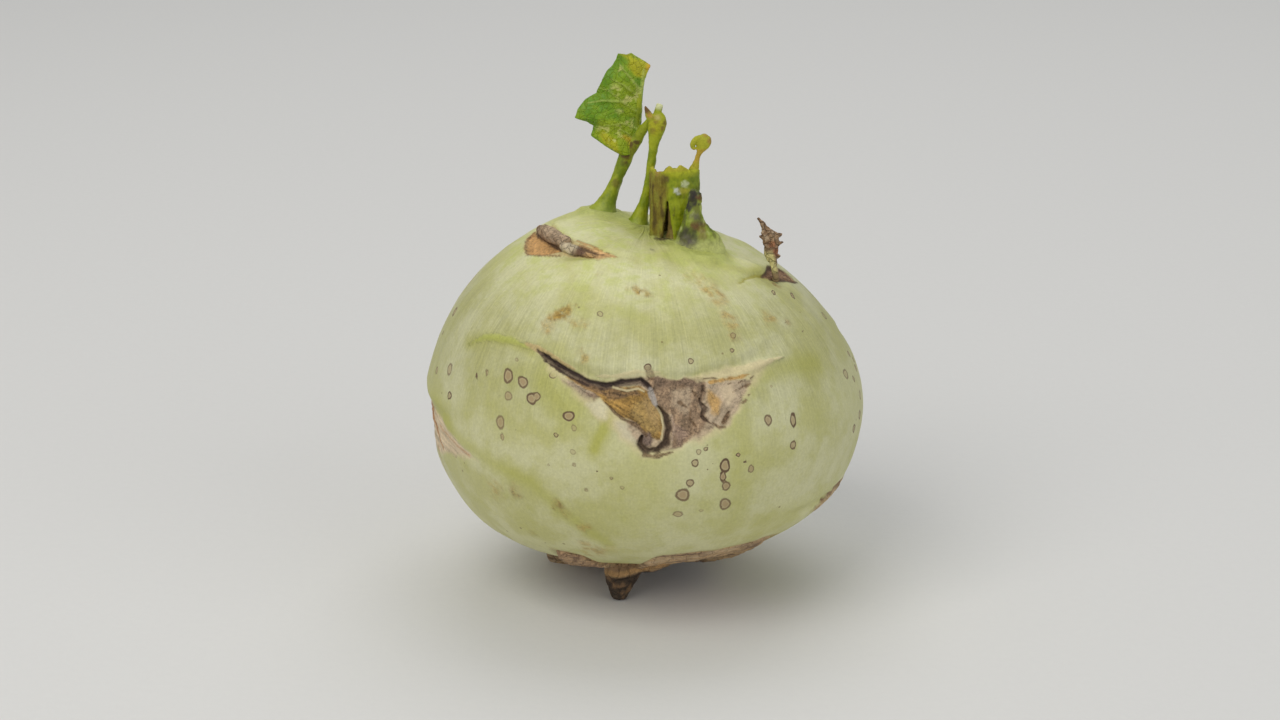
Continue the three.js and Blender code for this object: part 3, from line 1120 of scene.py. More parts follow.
@dataclass(frozen=True)
class SkinForm:
    """How far the bulb's skin lies from its centre, from four sides read crown to base."""

    centre_height: float = 44.8
    gap: float = 0.35
    shoulder: float = 15.0
    right: tuple[float, ...] = (35.1, 35.8, 38.4, 42.4, 47.3, 47.5, 43.7, 40.3, 36.4)
    back: tuple[float, ...] = (35.1, 37.6, 40.4, 44.2, 46.6, 46.6, 43.6, 39.6, 36.4)
    left: tuple[float, ...] = (35.1, 40.6, 42.6, 45.4, 47.4, 47.6, 45.1, 37.2, 36.4)
    front: tuple[float, ...] = (35.1, 37.0, 40.8, 44.6, 46.7, 46.1, 42.2, 37.8, 36.4)

    @staticmethod
    def along(side: Sequence[float], opposite: Sequence[float], step: Array) -> Array:
        """Reads a side between its values.

        Args:
            side: Distances from the centre, crown to base.
            opposite: Those of the side across from it.
            step: How many values down to read.

        Returns:
            The distance at each step.
        """
        table = np.array([opposite[1], *side, opposite[-2], opposite[-3]])
        i = np.minimum(step.astype(int), len(side) - 2)
        f = step - i
        a, b, c, d = (table[i + n] for n in range(4))
        return b + 0.5 * f * (c - a + f * (2 * a - 5 * b + 4 * c - d + f * (3 * (b - c) + d - a)))

    def smooth(self, azimuth: Array, polar: Array) -> Array:
        """The distance of the skin from the centre, without its scars.

        Args:
            azimuth: How far round, in radians.
            polar: How far down from the crown, in radians.

        Returns:
            The distance in millimetres.
        """
        step = polar / math.pi * (len(self.right) - 1)
        right = self.along(self.right, self.left, step)
        left = self.along(self.left, self.right, step)
        back = self.along(self.back, self.front, step)
        front = self.along(self.front, self.back, step)
        return (
            (right + left + back + front) / 4
            + (right - left) / 2 * np.cos(azimuth)
            + (back - front) / 2 * np.sin(azimuth)
            + (right + left - back - front) / 4 * np.cos(2 * azimuth)
        )

    def point(self, azimuth: Array, polar: Array, reach: Array) -> Array:
        """A place at a distance from the centre.

        Args:
            azimuth: How far round, in radians.
            polar: How far down from the crown, in radians.
            reach: The distance, in millimetres.

        Returns:
            The place in millimetres.
        """
        flat = reach * np.sin(polar)
        up = self.centre_height + reach * np.cos(polar)
        return np.stack([flat * np.cos(azimuth), flat * np.sin(azimuth), up], axis=-1)

    def angles(self, points: Array) -> tuple[Array, Array]:
        """How far round and how far down points lie, in radians.

        Args:
            points: Their places, in millimetres.

        Returns:
            The two angles of each.
        """
        away = points - np.array([0, 0, self.centre_height])
        down = np.arccos(np.clip(away[:, 2] / np.linalg.norm(away, axis=1), -1, 1))
        return np.arctan2(away[:, 1], away[:, 0]), down

    def above(self, points: Array) -> Array:
        """Whether points lie over the bulb's shoulder, where the stalks stand."""
        return points[:, 2] > self.centre_height + self.shoulder

    def on_skin(self, round_: float, down: float, height: float = 0.0) -> Array:
        """A place on the smooth skin, or a height over it.

        Args:
            round_: How far round, in degrees.
            down: How far down from the crown, in degrees.
            height: How far over the skin, in millimetres.

        Returns:
            The place in millimetres.
        """
        azimuth, polar = np.radians([round_]), np.radians([down])
        return self.point(azimuth, polar, self.smooth(azimuth, polar) + height)[0]


@dataclass(frozen=True)
class Tongue:
    """A tongue of crust that climbs the skin: its middle, half width, rim, slope and thinness."""

    middle: float
    half: float
    rim: float
    slope: float
    thin: float

    def away(self, azimuth: Array) -> Array:
        """How far a direction, in radians round, lies from the tongue's middle, in half widths."""
        turned = (azimuth - math.radians(self.middle) + math.pi) % math.tau - math.pi
        return turned / math.radians(self.half)

    def share(self, azimuth: Array) -> Array:
        """How far a direction, in radians round, lies within the tongue, from 0 to 1."""
        return np.exp(-(self.away(azimuth) ** 10))

    def reach(self, azimuth: Array) -> Array:
        """Degrees down from the crown to the tongue's rim, at a direction in radians round."""
        return self.rim + self.slope * np.clip(self.away(azimuth), -1, 1)


@dataclass(frozen=True)
class CrustRim:
    """How far up the bulb's underside the corky crust reaches, with tongues at the front.

    `lobes` are waves of its rim, each their number, height and turn in degrees. `sink` is how far
    the skin gives way under the thin rim of a tongue, and `ragged` how far the rim wanders.
    """

    middle: float = 152.0
    sink: float = 1.25
    ragged: float = 1.3
    lobes: tuple[tuple[int, float, float], ...] = ((1, 4, 150), (5, 2.2, 200), (9, 1.1, 80))
    tongues: tuple[Tongue, ...] = (
        Tongue(-61.6, 31.6, 126.8, -1.5, 1.0), Tongue(-118.4, 8.2, 128, 1.0, 0.55),
    )

    def thinned(self, azimuth: Array) -> Array:
        """How far the crust thins towards its rim, from 0 to 1, at a direction in radians round."""
        return sum(tongue.thin * tongue.share(azimuth) for tongue in self.tongues)

    def edge(self, azimuth: Array) -> Array:
        """The rim's place.

        Args:
            azimuth: How far round, in radians.

        Returns:
            Degrees down from the crown.
        """
        waves = sum(reach * np.cos(n * (azimuth - math.radians(turn)))
                    for n, reach, turn in self.lobes)
        ring = np.stack([9 * np.cos(azimuth), 9 * np.sin(azimuth), 0 * azimuth], axis=1)
        wander = self.ragged * NOISE.fractal(ring, 1.2, 3)
        down = self.middle - waves
        for tongue in self.tongues:
            share = tongue.share(azimuth)
            down = (1 - share) * down + share * tongue.reach(azimuth)
        return wander + down


@dataclass(frozen=True)
class Chart:
    """A flat map of the skin about one place, in millimetres across and up.

    `reach` is how far from its middle, to each side, paint may lie.
    """

    round: float
    down: float
    reach: float = 0.0
    scale: float = 46.0

    def places(self, azimuth: Array, polar: Array) -> Array:
        """Where points of the skin lie on the map.

        Args:
            azimuth: How far round they are, in radians.
            polar: How far down, in radians.

        Returns:
            One row, across and up, for each.
        """
        turned = azimuth - math.radians(self.round)
        across = self.scale * np.sin(polar) * np.arctan2(np.sin(turned), np.cos(turned))
        return np.stack([across, self.scale * (math.radians(self.down) - polar)], axis=1)

    def paint(self, coat: SkinCoat, layers: Sequence[Patch | Stroke]) -> None:
        """Lays patches and strokes that are placed on the map, the lowest first.

        Args:
            coat: The skin's paint.
            layers: What is laid.
        """
        places = self.places(coat.azimuth, coat.polar)
        coat.lay_all(layers, close_to_middle(places, self.reach), places)


class ScarLook(Enum):
    """How a leaf scar has healed: its cork, its streaks, and the dark of its margin and crease,
    which in the crease is painted shade.
    """

    OPEN = (tone(160, 140, 112), tone(190, 152, 92), tone(84, 64, 48))
    PALE = (tone(206, 184, 146), tone(196, 150, 100), tone(150, 116, 82))


@dataclass(frozen=True)
class LeafScar:
    """Where a leaf has broken off: a brow over a hollow, healed with cork."""

    round: float
    down: float
    half: float
    tall: float
    depth: float
    lift: float
    tilt: float
    look: ScarLook = ScarLook.OPEN
    edge_blur: float = 2.0
    brow_share: float = 0.5
    brow_width: float = 4.0
    margin: float = 8.0

    def places(self, azimuth: Array, polar: Array) -> Array:
        """Where points of the skin lie on the scar.

        Args:
            azimuth: How far round they are, in radians.
            polar: How far down, in radians.

        Returns:
            One row, across and up in millimetres, for each.
        """
        tilt = math.radians(self.tilt)
        turn = np.array([[math.cos(tilt), math.sin(tilt)], [-math.sin(tilt), math.cos(tilt)]])
        return Chart(self.round, self.down).places(azimuth, polar) @ turn

    def rise(self, azimuth: Array, polar: Array) -> Array:
        """How far the brow and the hollow lift the skin.

        Args:
            azimuth: How far round, in radians.
            polar: How far down, in radians.

        Returns:
            The height in millimetres, negative in the hollow.
        """
        across, up = self.places(azimuth, polar).T
        share = across / self.half
        below = self.lift * share**2 - up
        tall = self.tall * np.maximum(0.15, 1 - share**2)
        brow = self.brow_share * self.depth * np.exp(-((below / self.brow_width) ** 2))
        hollow = -self.depth * np.maximum(0, 1 - below / tall)
        sunk = smooth(-self.edge_blur, self.edge_blur, below)
        fade = np.exp(-np.minimum(share**4, 60) / 1.5)
        return fade * (brow * (1 - sunk) + hollow * sunk)

    def lens(self, inset: float, share: float = 1.0) -> tuple[Place, ...]:
        """An outline within the scar.

        Args:
            inset: How far it stays inside the scar, in millimetres.
            share: How much of the scar's height it takes.

        Returns:
            Its corners.
        """
        steps = np.linspace(-0.96, 0.96, 13)
        wide = self.half - inset
        top = [(wide * t, self.lift * t * t - inset) for t in steps]
        drop = self.tall * share - 2 * inset
        low = [(wide * t, self.lift * t * t - inset - drop * (1 - t * t)) for t in steps[::-1]]
        return (*top, *low)

    def dress(self, coat: SkinCoat) -> None:
        """Lays cork, streaks and a crease over the scar, the crease darkened with painted shade.

        Args:
            coat: The skin's paint.
        """
        places = self.places(coat.azimuth, coat.polar)
        cork, streak, dark = self.look.value
        cream = tone(206, 194, 150)
        crest = tuple((self.half * t, self.lift * t * t) for t in np.linspace(-1, 1, 9))
        small = self.half / 25
        layers = (
            Patch(self.lens(-0.9 * small, 0.95), cream, 0.75, feather=0.9, ragged=1.0),
            Patch(self.lens(0.4, 0.82), streak, 0.9, ragged=1.2, streaks=0.8, grain=8),
            Patch(self.lens(3.2 * small, 0.62), cork, 0.9, ragged=2.2, streaks=0.4, grain=60),
            # The dark line along the crest is painted shade in the crease.
            Stroke(crest, (0.3, 1.6 * small, 2.2 * small, 1.8 * small, 0.3), dark, 0.9,
                   0.9 * small),
            Stroke(self.lens(1.2, 0.9)[13:], (0.3, 0.8, 0.5, 0.9, 0.3), dark, 0.5, 0.2),
        )
        coat.lay_all(layers, close_to_middle(places, self.half + self.margin), places)


@dataclass(frozen=True)
class Spot:
    """A corky spot: its place across and up a map, its size, and its ring's and fill's strength."""

    across: float
    up: float
    wide: float
    tall: float
    dark: float
    fill: float


@dataclass
class Bulb:
    """The swollen stem: skin, leaf scars, corky spots and scuffs.

    The first scars, as many as `charted_scars` says, have patches and strokes of their own on the
    five charts, and the rest are dressed by their look. `feet` are the stalks' x, y, radius and
    the skin's rise, `folds` the paths, widths and heights of the ridges that run up to them, and
    `fine` the outlines on the charts in which the mesh is subdivided. `ribs`, `crown_lumps` and
    `dimple` are the heights of the ribs and of the lumps near the crown and the depth of a spot.
    """

    form: SkinForm = field(default_factory=SkinForm)
    columns: int = 320
    rows: int = 182
    front_crowd: float = 0.6
    waist_crowd: float = 0.08
    waist: float = 0.44
    ribs: float = 0.16
    waves: Lumps = ((13, 0.22), (3, 0.05))
    crown_lumps: float = 0.3
    dimple: float = 0.07
    front: Chart = Chart(-90, 78, 48)
    left_shoulder: Chart = Chart(-150, 31, 21)
    right_shoulder: Chart = Chart(-16, 44, 21)
    left_side: Chart = Chart(-178, 90, 36)
    low_right: Chart = Chart(-34, 113, 36)
    charted_scars: int = 5
    scars: tuple[LeafScar, ...] = (
        LeafScar(-88, 70, 25, 17, 1.5, 3.2, 0, brow_share=0.15),
        LeafScar(-150, 31, 15, 7, 1.2, 2.0, 0),
        LeafScar(-16, 44, 11, 7, 1.2, 1.5, 20),
        LeafScar(-178, 90, 19, 13, 1.2, 2.5, 6),
        LeafScar(-34, 113, 9, 5, 0.8, 1.5, -10),
        LeafScar(122, 56, 17, 9, 1.3, 2.4, 0),
        LeafScar(42, 79, 21, 14, 1.8, 3.0, -4),
        LeafScar(98, 112, 14, 7, 1.0, 2.0, 5, ScarLook.PALE),
    )
    open_outline: tuple[Place, ...] = (
        (-25.4, 10.8), (-18.8, 7.8), (-12.2, 5.6), (-8.8, 4.8), (-4.5, 6.5), (-0.2, 7.2), (12, 5.8),
        (18, 5.6), (25, 6.2), (30, 7.2), (25.4, 4.8), (23.2, 2.4), (21.2, 0), (19.0, -2.6),
        (16.2, -4.9), (12.6, -6.9), (8.6, -8), (4.8, -8.9), (0.9, -10.1), (-1.4, -9.3),
        (-5.4, -6.4), (-6.8, -3.6), (-7.2, -1.6), (-9.6, -2), (-12.6, 0.4), (-16.6, 3.6),
        (-21.4, 7), (-25, 10.2),
    )
    spots: tuple[Spot, ...] = tuple(Spot(*row) for row in (
        (-31.1, 3.7, 2.6, 2.9, 0.8, 0.8), (-27.1, 3.2, 2.5, 2.4, 0.8, 0.8),
        (-30.6, -0.3, 2.0, 2.0, 0.45, 0.6), (-24.7, 0.2, 2.2, 2.4, 0.9, 0.8),
        (-23.4, 0.9, 1.8, 1.8, 0.8, 0.8), (-32.3, -6, 2.3, 2.8, 0.55, 0.7),
        (-31.7, -9, 1.2, 1.6, 0.4, 0.6), (-16, -2.1, 2.4, 2.0, 0.95, 0.8),
        (-14.8, -4.4, 1.2, 1.4, 0.4, 0.4), (-18.7, -6.3, 1.1, 1.0, 0.8, 0.5),
        (-40.4, 1.6, 0.9, 1.5, 0.9, 0.9), (-37.4, 3.1, 1.0, 1.6, 0.5, 0.5),
        (-15, -9.4, 1.3, 1.2, 0.35, 0.3), (-14.7, -12.1, 1.1, 1.0, 0.4, 0.3),
        (-12.2, -17.5, 1.1, 1.0, 0.4, 0.3), (-4.8, -16.5, 1.0, 1.0, 0.4, 0.3),
        (0.4, 8.9, 1.6, 1.5, 1.0, 0.7), (9.7, 9.9, 1.2, 1.3, 0.8, 0.5),
        (26.6, -4.5, 1.8, 2.4, 0.75, 0.8), (33.1, -5.8, 1.5, 3.4, 0.95, 0.7),
        (32.6, -10.9, 1.6, 2.0, 0.8, 0.8), (7.5, -18.3, 3.0, 2.8, 0.75, 0.8),
        (9, -15.6, 1.8, 1.6, 0.75, 0.7), (6.6, -23.1, 2.4, 1.5, 0.5, 0.6),
        (16.3, -12.5, 2.2, 2.8, 1.0, 0.8), (15.9, -14.9, 1.3, 2.2, 0.95, 0.9),
        (16.6, -17.1, 1.8, 2.2, 0.7, 0.8), (16.5, -21.5, 2.6, 2.8, 0.7, 0.8),
        (10, -11.3, 1.6, 1.6, 0.85, 0.6), (10.8, -9, 1.1, 1.2, 0.55, 0.4),
        (19.2, -10.5, 1.0, 1.0, 1.0, 0.9), (20.7, -12.1, 0.8, 0.8, 1.0, 0.9),
        (22.1, -14, 1.4, 1.8, 0.6, 0.7), (-20, 6, 1.6, 1.5, 0.5, 0.2),
        (-29.2, 7.4, 1.0, 1.0, 0.35, 0.3), (24, 5, 0.8, 0.7, 0.7, 0.6),
        (28.5, 2.1, 0.7, 0.7, 0.4, 0.4), (12.3, -8.5, 1.0, 0.9, 0.8, 0.6),
        (19.6, 11.3, 1.1, 1.1, 0.8, 0.6), (-32.8, -0.5, 0.7, 0.8, 0.4, 0.5),
        (33.4, 16.6, 1.2, 1.2, 0.7, 0.5), (-20.2, 5.7, 1.4, 1.3, 0.9, 0.5),
        (38.3, 14.5, 0.9, 0.9, 0.6, 0.5), (43.4, 23.7, 1.4, 1.3, 0.8, 0.5),
        (44, 10.9, 0.9, 1.0, 0.7, 0.6), (38.9, 22.2, 1.8, 1.5, 0.9, 0.5),
        (48.2, 18.7, 1.8, 2.0, 0.9, 0.8), (20.5, 14.7, 1.6, 1.5, 0.8, 0.5),
        (36, -22, 0.8, 0.8, 0.5, 0.5), (-10.3, 20.8, 1.5, 1.4, 0.6, 0.3),
        (-20.3, -12.8, 0.8, 0.8, 0.35, 0.3), (-9.9, -13.2, 0.7, 0.6, 0.9, 0.8),
        (-7, -14.5, 0.9, 0.9, 0.5, 0.4), (12.6, -12.8, 0.6, 0.6, 0.7, 0.6),
        (13.8, -11.8, 0.5, 0.5, 0.8, 0.8), (11.4, -22.6, 1.1, 1.0, 0.3, 0.3),
    ))
    extra_spots: int = 90
    spot_seed: int = 29
    feet: tuple[tuple[float, float, float, float], ...] = (
        (-9.3, 5, 4.0, 1.3), (-1.8, 1.7, 2.8, 1.2), (6.2, -3.3, 4.6, 0.7), (11.0, -9.6, 4.9, 1.5),
    )
    folds: tuple[tuple[tuple[Place, ...], float, float], ...] = (
        (((12, -14), (20, -13), (28, -10)), 1.1, 0.45),
        (((13, -9), (20, -7), (27, -6.6)), 1.0, 0.4),
        (((9, -15), (13, -21), (16, -28)), 1.3, 0.35), (((4, -11), (3, -18), (3, -27)), 1.4, 0.35),
        (((-3, -8), (-7, -15), (-9, -23)), 1.5, 0.3), (((-12, 2), (-20, -1), (-27, -3)), 1.4, 0.35),
        (((-10, 9), (-17, 14), (-22, 20)), 1.4, 0.3), (((2, 6), (4, 14), (3, 24)), 1.5, 0.3),
        (((11, 3), (19, 8), (25, 13)), 1.5, 0.3),
    )
    fine: tuple[tuple[Chart, tuple[Place, ...], int], ...] = (
        (front, ((-28, 12.6), (-12, 9.2), (0, 9.4), (20, 9), (40, 11), (39, 7), (26, 2.6),
                 (19, -6), (8, -10.6), (0, -12), (-6, -9), (-15, -2.4), (-21, 4)), 1),
        (left_shoulder, ((-18, -6), (-10, -8.4), (-4, -9), (4, -5), (10, -3), (18, 0), (17, 3),
                         (8, 4.5), (-8, 4.4), (-18, 1)), 1),
        (right_shoulder, ((-17, -1), (-10, 3), (0, 2.4), (6, 2), (13, -1), (17, -6), (15, -11),
                          (7, -9), (-3, -3)), 1),
        (left_side, ((-17, -1), (-8, 0.6), (6, 0), (20, -0.4), (34, -6), (30, -9.4),
                     (20, -11), (13, -17), (8, -14), (-8, -13), (-17, -8)), 2),
    )

    def shape(self, around: Array, down: Array) -> Array:
        """The place of a point of the skin, crowded where the front's details are.

        Args:
            around: How far round, 0 to 1.
            down: How far down, 0 to 1.

        Returns:
            Its place on the smooth skin, in millimetres.
        """
        turn = math.tau * around + math.pi / 2
        azimuth = turn - math.pi / 2 - self.front_crowd * np.sin(turn)
        sway = np.sin(math.tau * (down - self.waist)) + math.sin(math.tau * self.waist)
        polar = math.pi * np.clip(down - self.waist_crowd * sway, 0, 1)
        return self.form.point(azimuth, polar, self.form.smooth(azimuth, polar))

    def build(self, material: Material) -> Piece:
        """Makes the bulb.

        Args:
            material: The skin's material.

        Returns:
            The piece.
        """
        piece = Shaper.ball("bulb_skin", self.columns, self.rows, self.shape)
        self.refine(piece)
        azimuth, polar = self.form.angles(Shaper.read(piece))
        points = self.form.point(azimuth, polar, self.form.smooth(azimuth, polar))
        away = points - np.array([0, 0, self.form.centre_height])
        reach = np.linalg.norm(away, axis=1)
        coat = SkinCoat(points, azimuth, polar)
        rim = CrustRim()
        past = np.degrees(polar) - rim.edge(azimuth)
        coat.height -= rim.sink * rim.thinned(azimuth) * smooth(-0.6, 1.8, past)
        edge = rim.thinned(azimuth) * np.exp(-(((past + 0.3) / 0.9) ** 2))
        coat.wash(0.7 * edge, tone(158, 120, 76))
        coat.height += sum(scar.rise(azimuth, polar) for scar in self.scars)
        for scar in self.scars[self.charted_scars:]:
            scar.dress(coat)
        self.dress_front(coat)
        self.dress_shoulders(coat)
        self.dress_sides(coat)
        self.scuff(coat)
        coat.height += self.feet_rise(points)
        yellowing_and_flank_shade = self.yellowing_and_flank_shade(coat)
        far, dark, fill = self.spot_fields(coat)
        crown = np.exp(-((polar / 0.55) ** 2))
        spokes = np.stack([np.cos(azimuth) * 9, np.sin(azimuth) * 9, polar * 2], axis=1)
        coat.height += self.ribs * (0.4 + 1.6 * crown) * NOISE.fractal(spokes, 1.0, 3)
        coat.height += sum(rise * NOISE.fractal(points, width, 2) for width, rise in self.waves)
        coat.height += self.crown_lumps * crown * NOISE.fractal(points + 60, 6, 3)
        coat.height -= self.dimple * fill * smooth(1.0, 0.6, far)
        Shaper.write(piece, points + away / reach[:, None] * coat.height[:, None])
        fields = {"yellowing_and_flank_shade": yellowing_and_flank_shade, "spot_far": far, "spot_dark": dark, "spot_fill": fill}
        for name, values in fields.items():
            Shaper.mark(piece, name, values)
        dress(piece, material, "bulb", Slot.SKIN, coat)
        return piece

    def refine(self, piece: Piece) -> None:
        """Subdivides the skin where a scar's details need it.

        Args:
            piece: The skin, still smooth.
        """
        for chart, outline, cuts in self.fine:
            points = Shaper.read(piece)
            azimuth, polar = self.form.angles(points)
            within = inside(chart.places(azimuth, polar), outline) > 0
            chosen = np.array([all(within[corner] for corner in face.vertices)
                               for face in piece.data.polygons])
            Shaper.refine(piece, chosen, cuts)

    def dress_front(self, coat: SkinCoat) -> None:
        """Lays the big front scar's cork, ledge, creases and folds, with painted shade in the
        creases and folds and a painted highlight on its seam.

        Args:
            coat: The skin's paint.
        """
        ink, brown, tan = tone(84, 66, 52), tone(126, 100, 72), tone(190, 156, 110)
        cream, pink = tone(206, 192, 148), tone(180, 158, 130)
        ledge, cork, grey = tone(162, 127, 66), tone(160, 134, 106), tone(186, 166, 138)
        flecks = (
            (21.2, 2.9, 0.3), (22.8, 3.3, 0.35), (23.9, 4.8, 0.35), (22.9, 1.4, 0.25),
            (21.4, 0.1, 0.25), (19.6, 2.5, 0.3), (18.4, 4.2, 0.3), (21, 4.2, 0.2),
        )
        layers = (
            Stroke(((-46, 6.6), (-40, 9.8), (-35.6, 10.6), (-31.7, 11.1), (-27, 10.6)),
                   (0.2, 0.8, 1.1, 1.0, 0.4), tone(170, 176, 76), 0.6, -0.3, 1.0, 0.3),
            Stroke(((-27.4, 11.2), (-24, 10.6), (-20, 9.2), (-15.4, 7.6)),
                   (0.5, 1.1, 0.9, 0.3), tan, 0.6, -0.1, 1.3),
            Stroke(((-12, 6.6), (-7, 6.8), (-2, 7.9), (3, 7.8)), (0.2, 0.5, 0.6, 0.2), cream, 0.6,
                   -0.1),
            Patch(self.open_outline, cream, 0.72, -0.3, 0.1, 1.0, 1.3),
            Patch(((-12.4, 0.6), (-9.8, 2), (-8.2, 0.7), (-8.5, -1.8), (-10.6, -1)),
                  tone(206, 198, 164), 0.8, feather=0.8, ragged=0.9),
            Patch(((-6, -2.7), (-3.3, -2.2), (-1, -4.2), (-0.4, -6.6), (-2.2, -7.4), (-4.9, -5.5)),
                  tone(202, 192, 162), 0.85, feather=0.9, ragged=1.0),
            Patch(((-18, 5), (-14.6, 2.8), (-11.6, 1.6), (-9.6, 2.4), (-10, 3.6), (-14, 5.2)),
                  tone(160, 140, 120), 0.8, feather=0.7, ragged=1.0, streaks=0.4, grain=-30),
            Patch(((-4, -4), (-1, -8.2), (4.6, -8.4), (8.6, -7.6), (14, -5), (17.5, -2.9),
                   (21, 0.3), (23.4, 4.0), (20, 5.2), (12, 5.6), (0, 6.6), (-4, 3)),
                  pink, 0.9, -0.55, 0.25, 0.5, 0.9, 0.4, 20),
            Patch(((13.2, 5.2), (19.3, 5.2), (22.5, 3.2), (20, 0), (17.8, -4.2), (15.8, -4.9),
                   (13, -2.9), (12.8, 2.9)), grey, 0.9, -0.8, 0.4, 0.5, 0.8, 0.3, 50),
            Patch(((13.4, 3.6), (15.4, 2.6), (16.6, 0.6), (15.6, -2.2), (14, -1.6), (13.2, 1)),
                  tone(196, 154, 84), 0.8, feather=0.5, ragged=0.9),
            Patch(((16, 3.6), (18.6, 3.8), (19.6, 1.4), (18, 0), (16.6, 1.4)),
                  tone(208, 188, 154), 0.8, feather=0.5, ragged=0.7),
            Stroke(((16.7, -3.6), (17.4, -2.6), (18, -1.6)), (0.7, 0.8, 0.3), brown, 0.9, 0.4),
            Patch(((0.8, 6.6), (12.8, 5.9), (12.8, 2.9), (11.1, 0.3), (13, -3), (11.1, -5.6),
                   (8.6, -7.5), (5.4, -8), (5.4, -1.2), (3.4, 0.3), (1.5, 3)),
                  cork, 1.0, -0.9, 0.5, 0.35, 0.8, 0.6, 75),
            Patch(((6, 3.4), (9, 3.8), (10, 1.6), (9, -1.4), (6.8, -1), (5.6, 1)), grey, 0.7,
                  feather=0.9, ragged=1.6),
            Patch(((2, 6.4), (12.4, 5.8), (11.6, 4.8), (7, 5.2), (2.6, 4.6)),
                  tone(118, 98, 82), 0.6, feather=0.5, ragged=1.2),
            Stroke(((9.4, 4.8), (10.2, 3.2), (11.6, 1.6), (12.2, 0.4)), (0.2, 0.35, 0.3, 0.2),
                   brown, 0.7, 0.3, ragged=0.5),
            Patch(((6, -3.6), (9.6, -4.4), (10, -6), (7, -7.4)), tone(166, 140, 120), 0.8,
                  feather=0.6, ragged=1.2),
            Stroke(((7, 1.4), (9.4, -0.4), (9.2, -2.4), (10.6, -4)), (0.3, 0.4, 0.5, 0.3), brown,
                   0.7, 0.3, ragged=0.5),
            Patch(((-17, 5.8), (-8.8, 4.3), (-1.4, 4.8), (0.9, 3.3), (1.6, 0.8), (3.6, -0.7),
                   (3.6, -6.2), (2.4, -6.6), (0.4, -5.2), (-1.4, -2.9), (-5.3, -1.5), (-7.8, 0.8),
                   (-10.8, 3), (-15, 4.9)), ledge, 1.0, -0.65, 0.12, 0.3, 0.5, 0.9, -28),
            Patch(((-15, 5.2), (-8.8, 4), (-2, 4.4), (-1, 3), (-4, 2.4), (-8, 2.2), (-12, 3.6)),
                  brown, 0.75, feather=0.4, ragged=0.7, streaks=0.8, grain=-8),
            Patch(((-3, 1.8), (0.6, 1.4), (2.8, -0.8), (3.2, -4.4), (1.6, -5.2), (-0.6, -3),
                   (-3.6, -0.8)), tone(178, 150, 92), 0.65, feather=0.8, ragged=0.9),
            Patch(((-12.4, 3), (-10.6, 3.2), (-9.4, 2.3), (-10.8, 1.5)), tone(122, 94, 76), 0.75,
                  feather=0.5, ragged=0.7),
            Patch(((-0.9, -5), (0.8, -4.9), (1.6, -6.4), (1, -7.8), (-0.6, -7.6), (-1.3, -6.3)),
                  tone(122, 102, 90), 0.9, feather=0.4, ragged=0.5),
            Patch(((-1, 2.6), (1, 2.4), (2.6, -0.6), (2.8, -4), (1.4, -3), (0.4, 0)),
                  tone(168, 140, 92), 0.7, feather=0.6, ragged=0.7),
            Stroke(((-8.4, 1.2), (-6.2, -0.9), (-4.2, -2.2), (-1.6, -3.5), (0.1, -5.4)),
                   (0.2, 0.4, 0.4, 0.55, 0.4), brown, 0.8, 0.5, 1.2),
            # The three dark lines along the crease under the brow are painted shade in the fold.
            Stroke(((-24.4, 10.3), (-22, 9.1), (-18.8, 7.5), (-12.2, 5.1), (-8.6, 4.5), (-5, 5.5),
                    (-1, 6.1), (0.6, 4.7)), (0.4, 1.0, 1.1, 1.1, 1.0, 1.2, 1.0, 0.6),
                   tone(104, 84, 74), 0.85, 0.5, 1.2, 0.3),
            Stroke(((-23, 9.8), (-18.8, 7.9), (-12.2, 5.4), (-8.6, 4.8), (-5, 5.8), (-1, 6.4),
                    (0.8, 4.8)), (0.3, 0.55, 0.6, 0.55, 0.6, 0.5, 0.6),
                   tone(66, 52, 46), 0.95, 0.6, 1.3, 0.3),
            Stroke(((-22.4, 8.4), (-18.6, 6.7), (-12.4, 4.4), (-9.4, 3.9)), (0.2, 0.4, 0.4, 0.2),
                   tone(70, 54, 46), 0.85, 0.3, 1.2, 0.4),
            Stroke(((-7, 4.5), (-4, 3.9), (-1.6, 4.4), (-0.4, 3.8)), (0.3, 0.4, 0.3, 0.2),
                   cream, 0.8, -0.2, ragged=0.1),
            # The grey-blue line along the seam is a painted highlight.
            Stroke(((0.9, 4.2), (1.3, 2.8), (2.0, 1.2), (2.6, 0.1)), (0.7, 0.6, 0.5, 0.3),
                   tone(166, 160, 154), 0.8, 0.2, ragged=0.4),
            # The dark curl along the fold is painted shade.
            Stroke(((2.6, 0.5), (4.2, -1.5), (4.6, -4), (4.2, -7), (2.3, -8.4), (0, -8.6),
                    (-1.4, -7.3), (-0.8, -5.5)), (0.35, 0.8, 0.9, 0.9, 0.8, 0.9, 0.8, 0.4),
                   ink, 0.95, 1.1, 1.2, 0.35),
            Stroke(((2.4, 0.4), (3.3, -1.2), (3.6, -3.4), (3.2, -6.2)), (0.25, 0.3, 0.3, 0.25),
                   cream, 0.9, -0.25, ragged=0.15),
            Stroke(((5.4, -1.4), (5.8, -4), (5.4, -6.4)), (0.25, 0.3, 0.25),
                   tone(176, 152, 130), 0.8, -0.2, ragged=0.2),
            Stroke(((12.8, 5.5), (12.4, 3.4), (11.5, 1.3), (12.4, -0.4), (11.8, -2), (13.7, -3.6)),
                   (0.4, 0.7, 0.5, 0.7, 0.5, 0.4), ink, 0.85, 0.6, 1.2, 0.5),
            Stroke(((14, -3.4), (15.6, -4.7), (16.6, -4.6)), (0.3, 0.4, 0.3), brown, 0.7, 0.3),
            Stroke(((-0.5, -9.4), (2.4, -9.7), (5.4, -8.8)), (0.4, 0.6, 0.3), brown, 0.8, 0.2),
            Stroke(((0.4, 8.6), (0.9, 7.2)), (0.9, 1.2), brown, 0.5, ragged=0.5),
